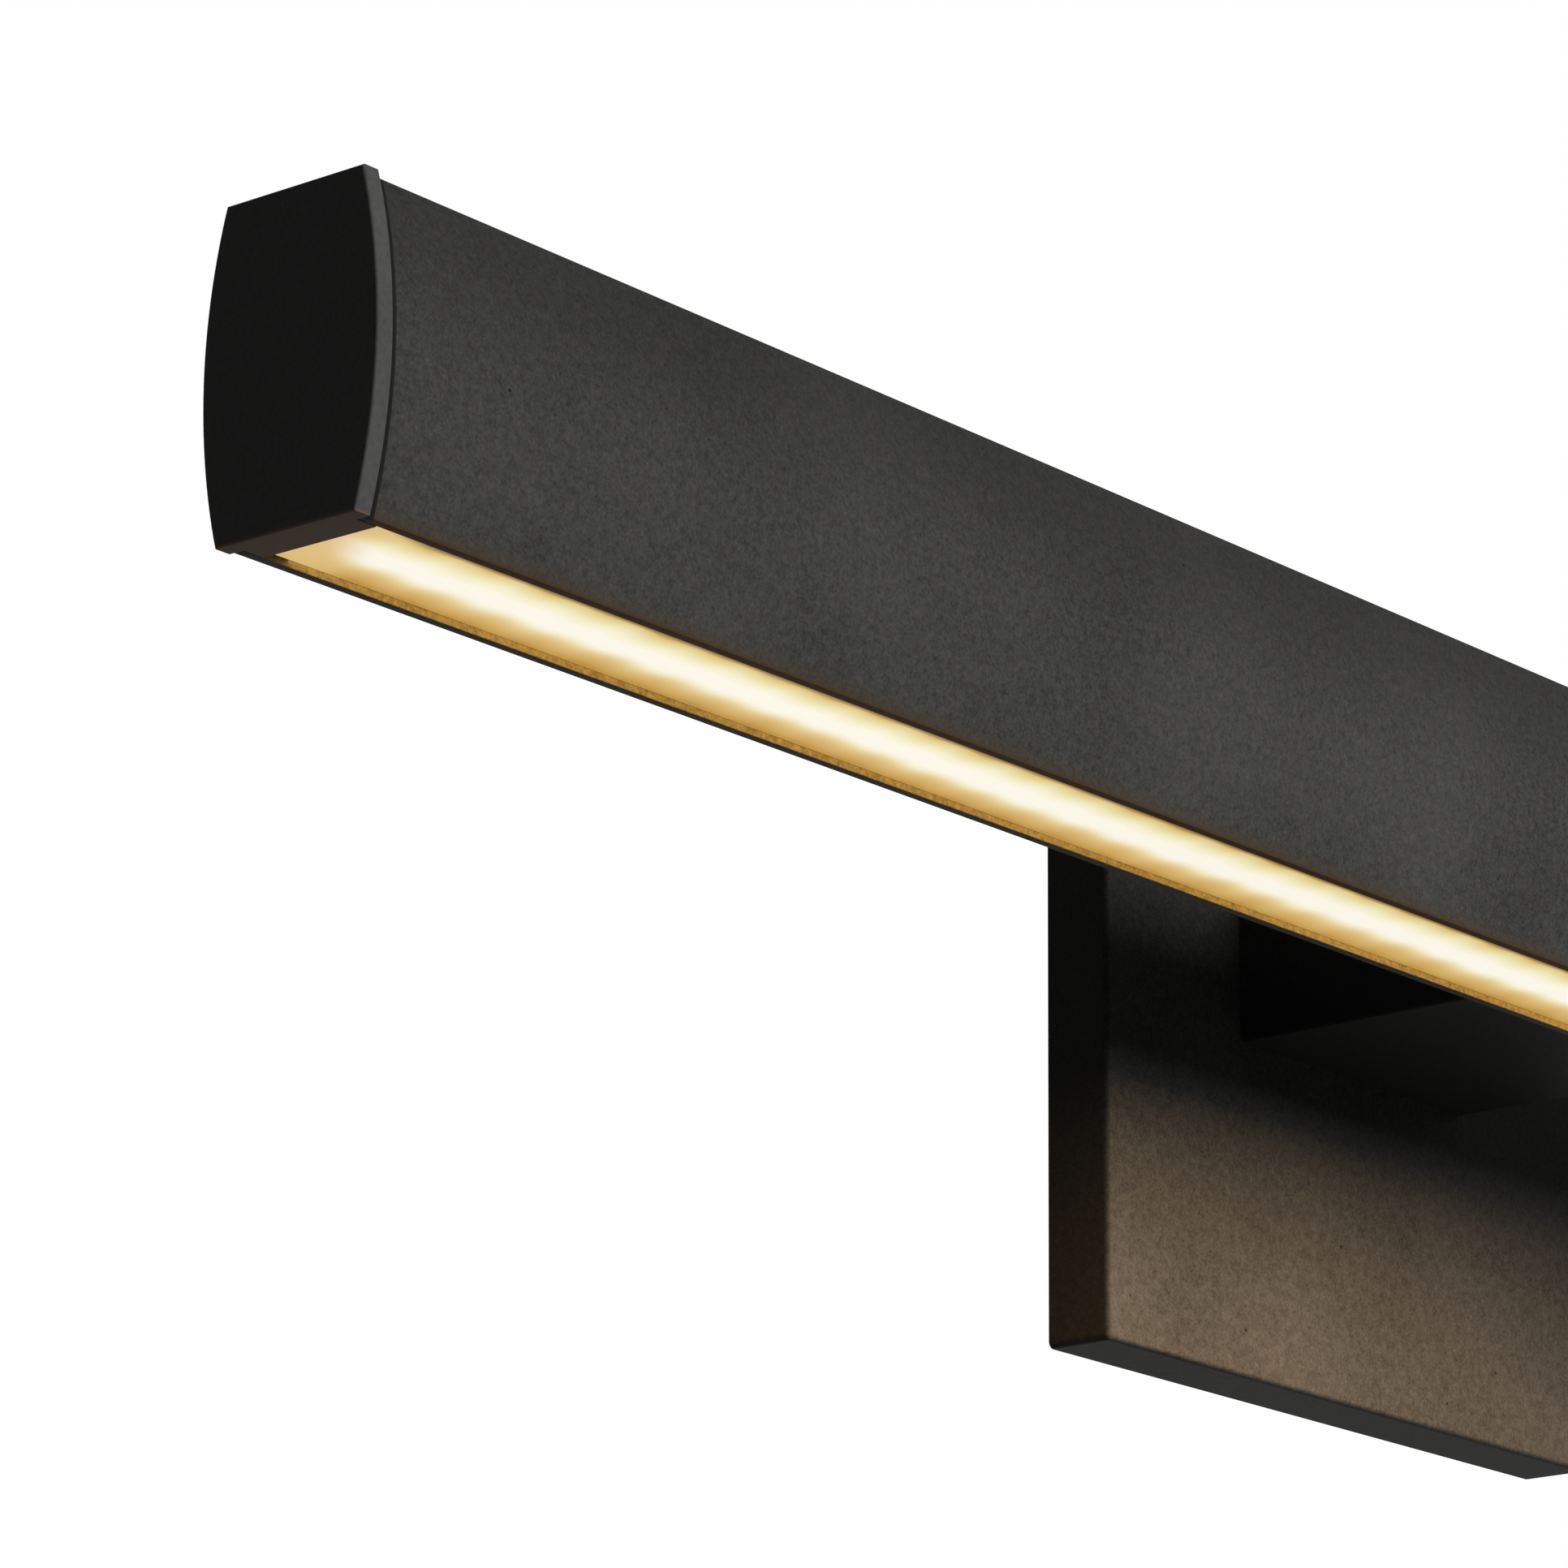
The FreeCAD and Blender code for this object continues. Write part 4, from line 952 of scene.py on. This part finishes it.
fill_strength = 0.052
backdrop_strength = 1.0
world = bpy.data.worlds.new("studio")
bpy.context.scene.world = world
world.use_nodes = True
sky = world.node_tree
fill = sky.nodes["Background"]
backdrop = sky.nodes.new("ShaderNodeBackground")
for background, strength in ((fill, fill_strength), (backdrop, backdrop_strength)):
    background.inputs["Color"].default_value = (1.0, 1.0, 1.0, 1.0)
    background.inputs["Strength"].default_value = strength
ray = sky.nodes.new("ShaderNodeLightPath")
seen = ray.outputs["Is Camera Ray"]
for kind in ("Is Glossy Ray", "Is Transmission Ray"):
    either = sky.nodes.new("ShaderNodeMath")
    either.operation = "MAXIMUM"
    sky.links.new(seen, either.inputs[0])
    sky.links.new(ray.outputs[kind], either.inputs[1])
    seen = either.outputs[0]
choice = sky.nodes.new("ShaderNodeMixShader")
sky.links.new(seen, choice.inputs[0])
sky.links.new(fill.outputs[0], choice.inputs[1])
sky.links.new(backdrop.outputs[0], choice.inputs[2])
sky.links.new(choice.outputs[0], sky.nodes["World Output"].inputs["Surface"])


def soft_lamp(name, place, target, width, height, power, colour=(1.0, 1.0, 1.0)):
    lamp = bpy.data.lights.new(name, "AREA")
    lamp.shape = "RECTANGLE"
    lamp.size, lamp.size_y = width, height
    lamp.energy = power
    lamp.color = colour
    holder = bpy.data.objects.new(name, lamp)
    bpy.context.scene.collection.objects.link(holder)
    holder.location = place
    aim = Vector(target) - Vector(place)
    holder.rotation_euler = aim.to_track_quat("-Z", "Y").to_euler()
    holder.visible_camera = False
    return holder


soft_lamp("front_lamp", place=(0.27, -1.65, 0.25), target=(0.0, -0.08, 0.0),
          width=1.1, height=0.74, power=27.5)
soft_lamp("back_lamp", place=(1.0, 1.5, 0.45), target=(0.0, 0.0, 0.0),
          width=1.2, height=0.7, power=27.0)

# The strip's light: a short lamp at the mouth for the back plate, and a golden one the strip's
# whole length, close under it, for the walls of the mouth. Both face straight down.
core_x = -0.045
core_z = bar_low.z + 0.0002
core_size = (0.15, lens_width * 0.50)
core_colour = (1.0, 0.66, 0.36)
edges_z = strip_low.z - 0.00003
edges_size = (2 * strip_high.x - 0.008, lens_width * 1.003)
edges_colour = (1.0, 0.53, 0.10)
core_power, edges_power = 0.275, 0.46
straight_down = (0.0, 0.0, 0.0)
strip_mid_y = (lens_front_y + lens_back_y) / 2
for name, x, z, size, power, colour in (
        ("strip_core", core_x, core_z, core_size, core_power, core_colour),
        ("strip_edges", 0.0, edges_z, edges_size, edges_power, edges_colour)):
    lamp = soft_lamp(name, (x, strip_mid_y, z), (x, strip_mid_y, -1.0), *size, power, colour)
    lamp.rotation_euler = straight_down
    lamp.visible_glossy = False

lens_length = 159.384
sensor_width = 36.0
yaw, pitch, roll = 0.8752, 0.2932, 0.0090
camera_place = (-0.818575, -0.583620, -0.266524)
nearest, farthest = 0.05, 50.0
camera_data = bpy.data.cameras.new("camera")
camera_data.lens = lens_length
camera_data.sensor_width = sensor_width
camera_data.clip_start = nearest
camera_data.clip_end = farthest
camera = bpy.data.objects.new("camera", camera_data)
bpy.context.scene.collection.objects.link(camera)
camera.location = camera_place
turned = (Matrix.Rotation(-yaw, 3, "Z") @ Matrix.Rotation(math.pi / 2 + pitch, 3, "X")
          @ Matrix.Rotation(roll, 3, "Z"))
camera.rotation_euler = turned.to_euler()
bpy.context.scene.camera = camera
bpy.context.scene.view_settings.view_transform = "Standard"
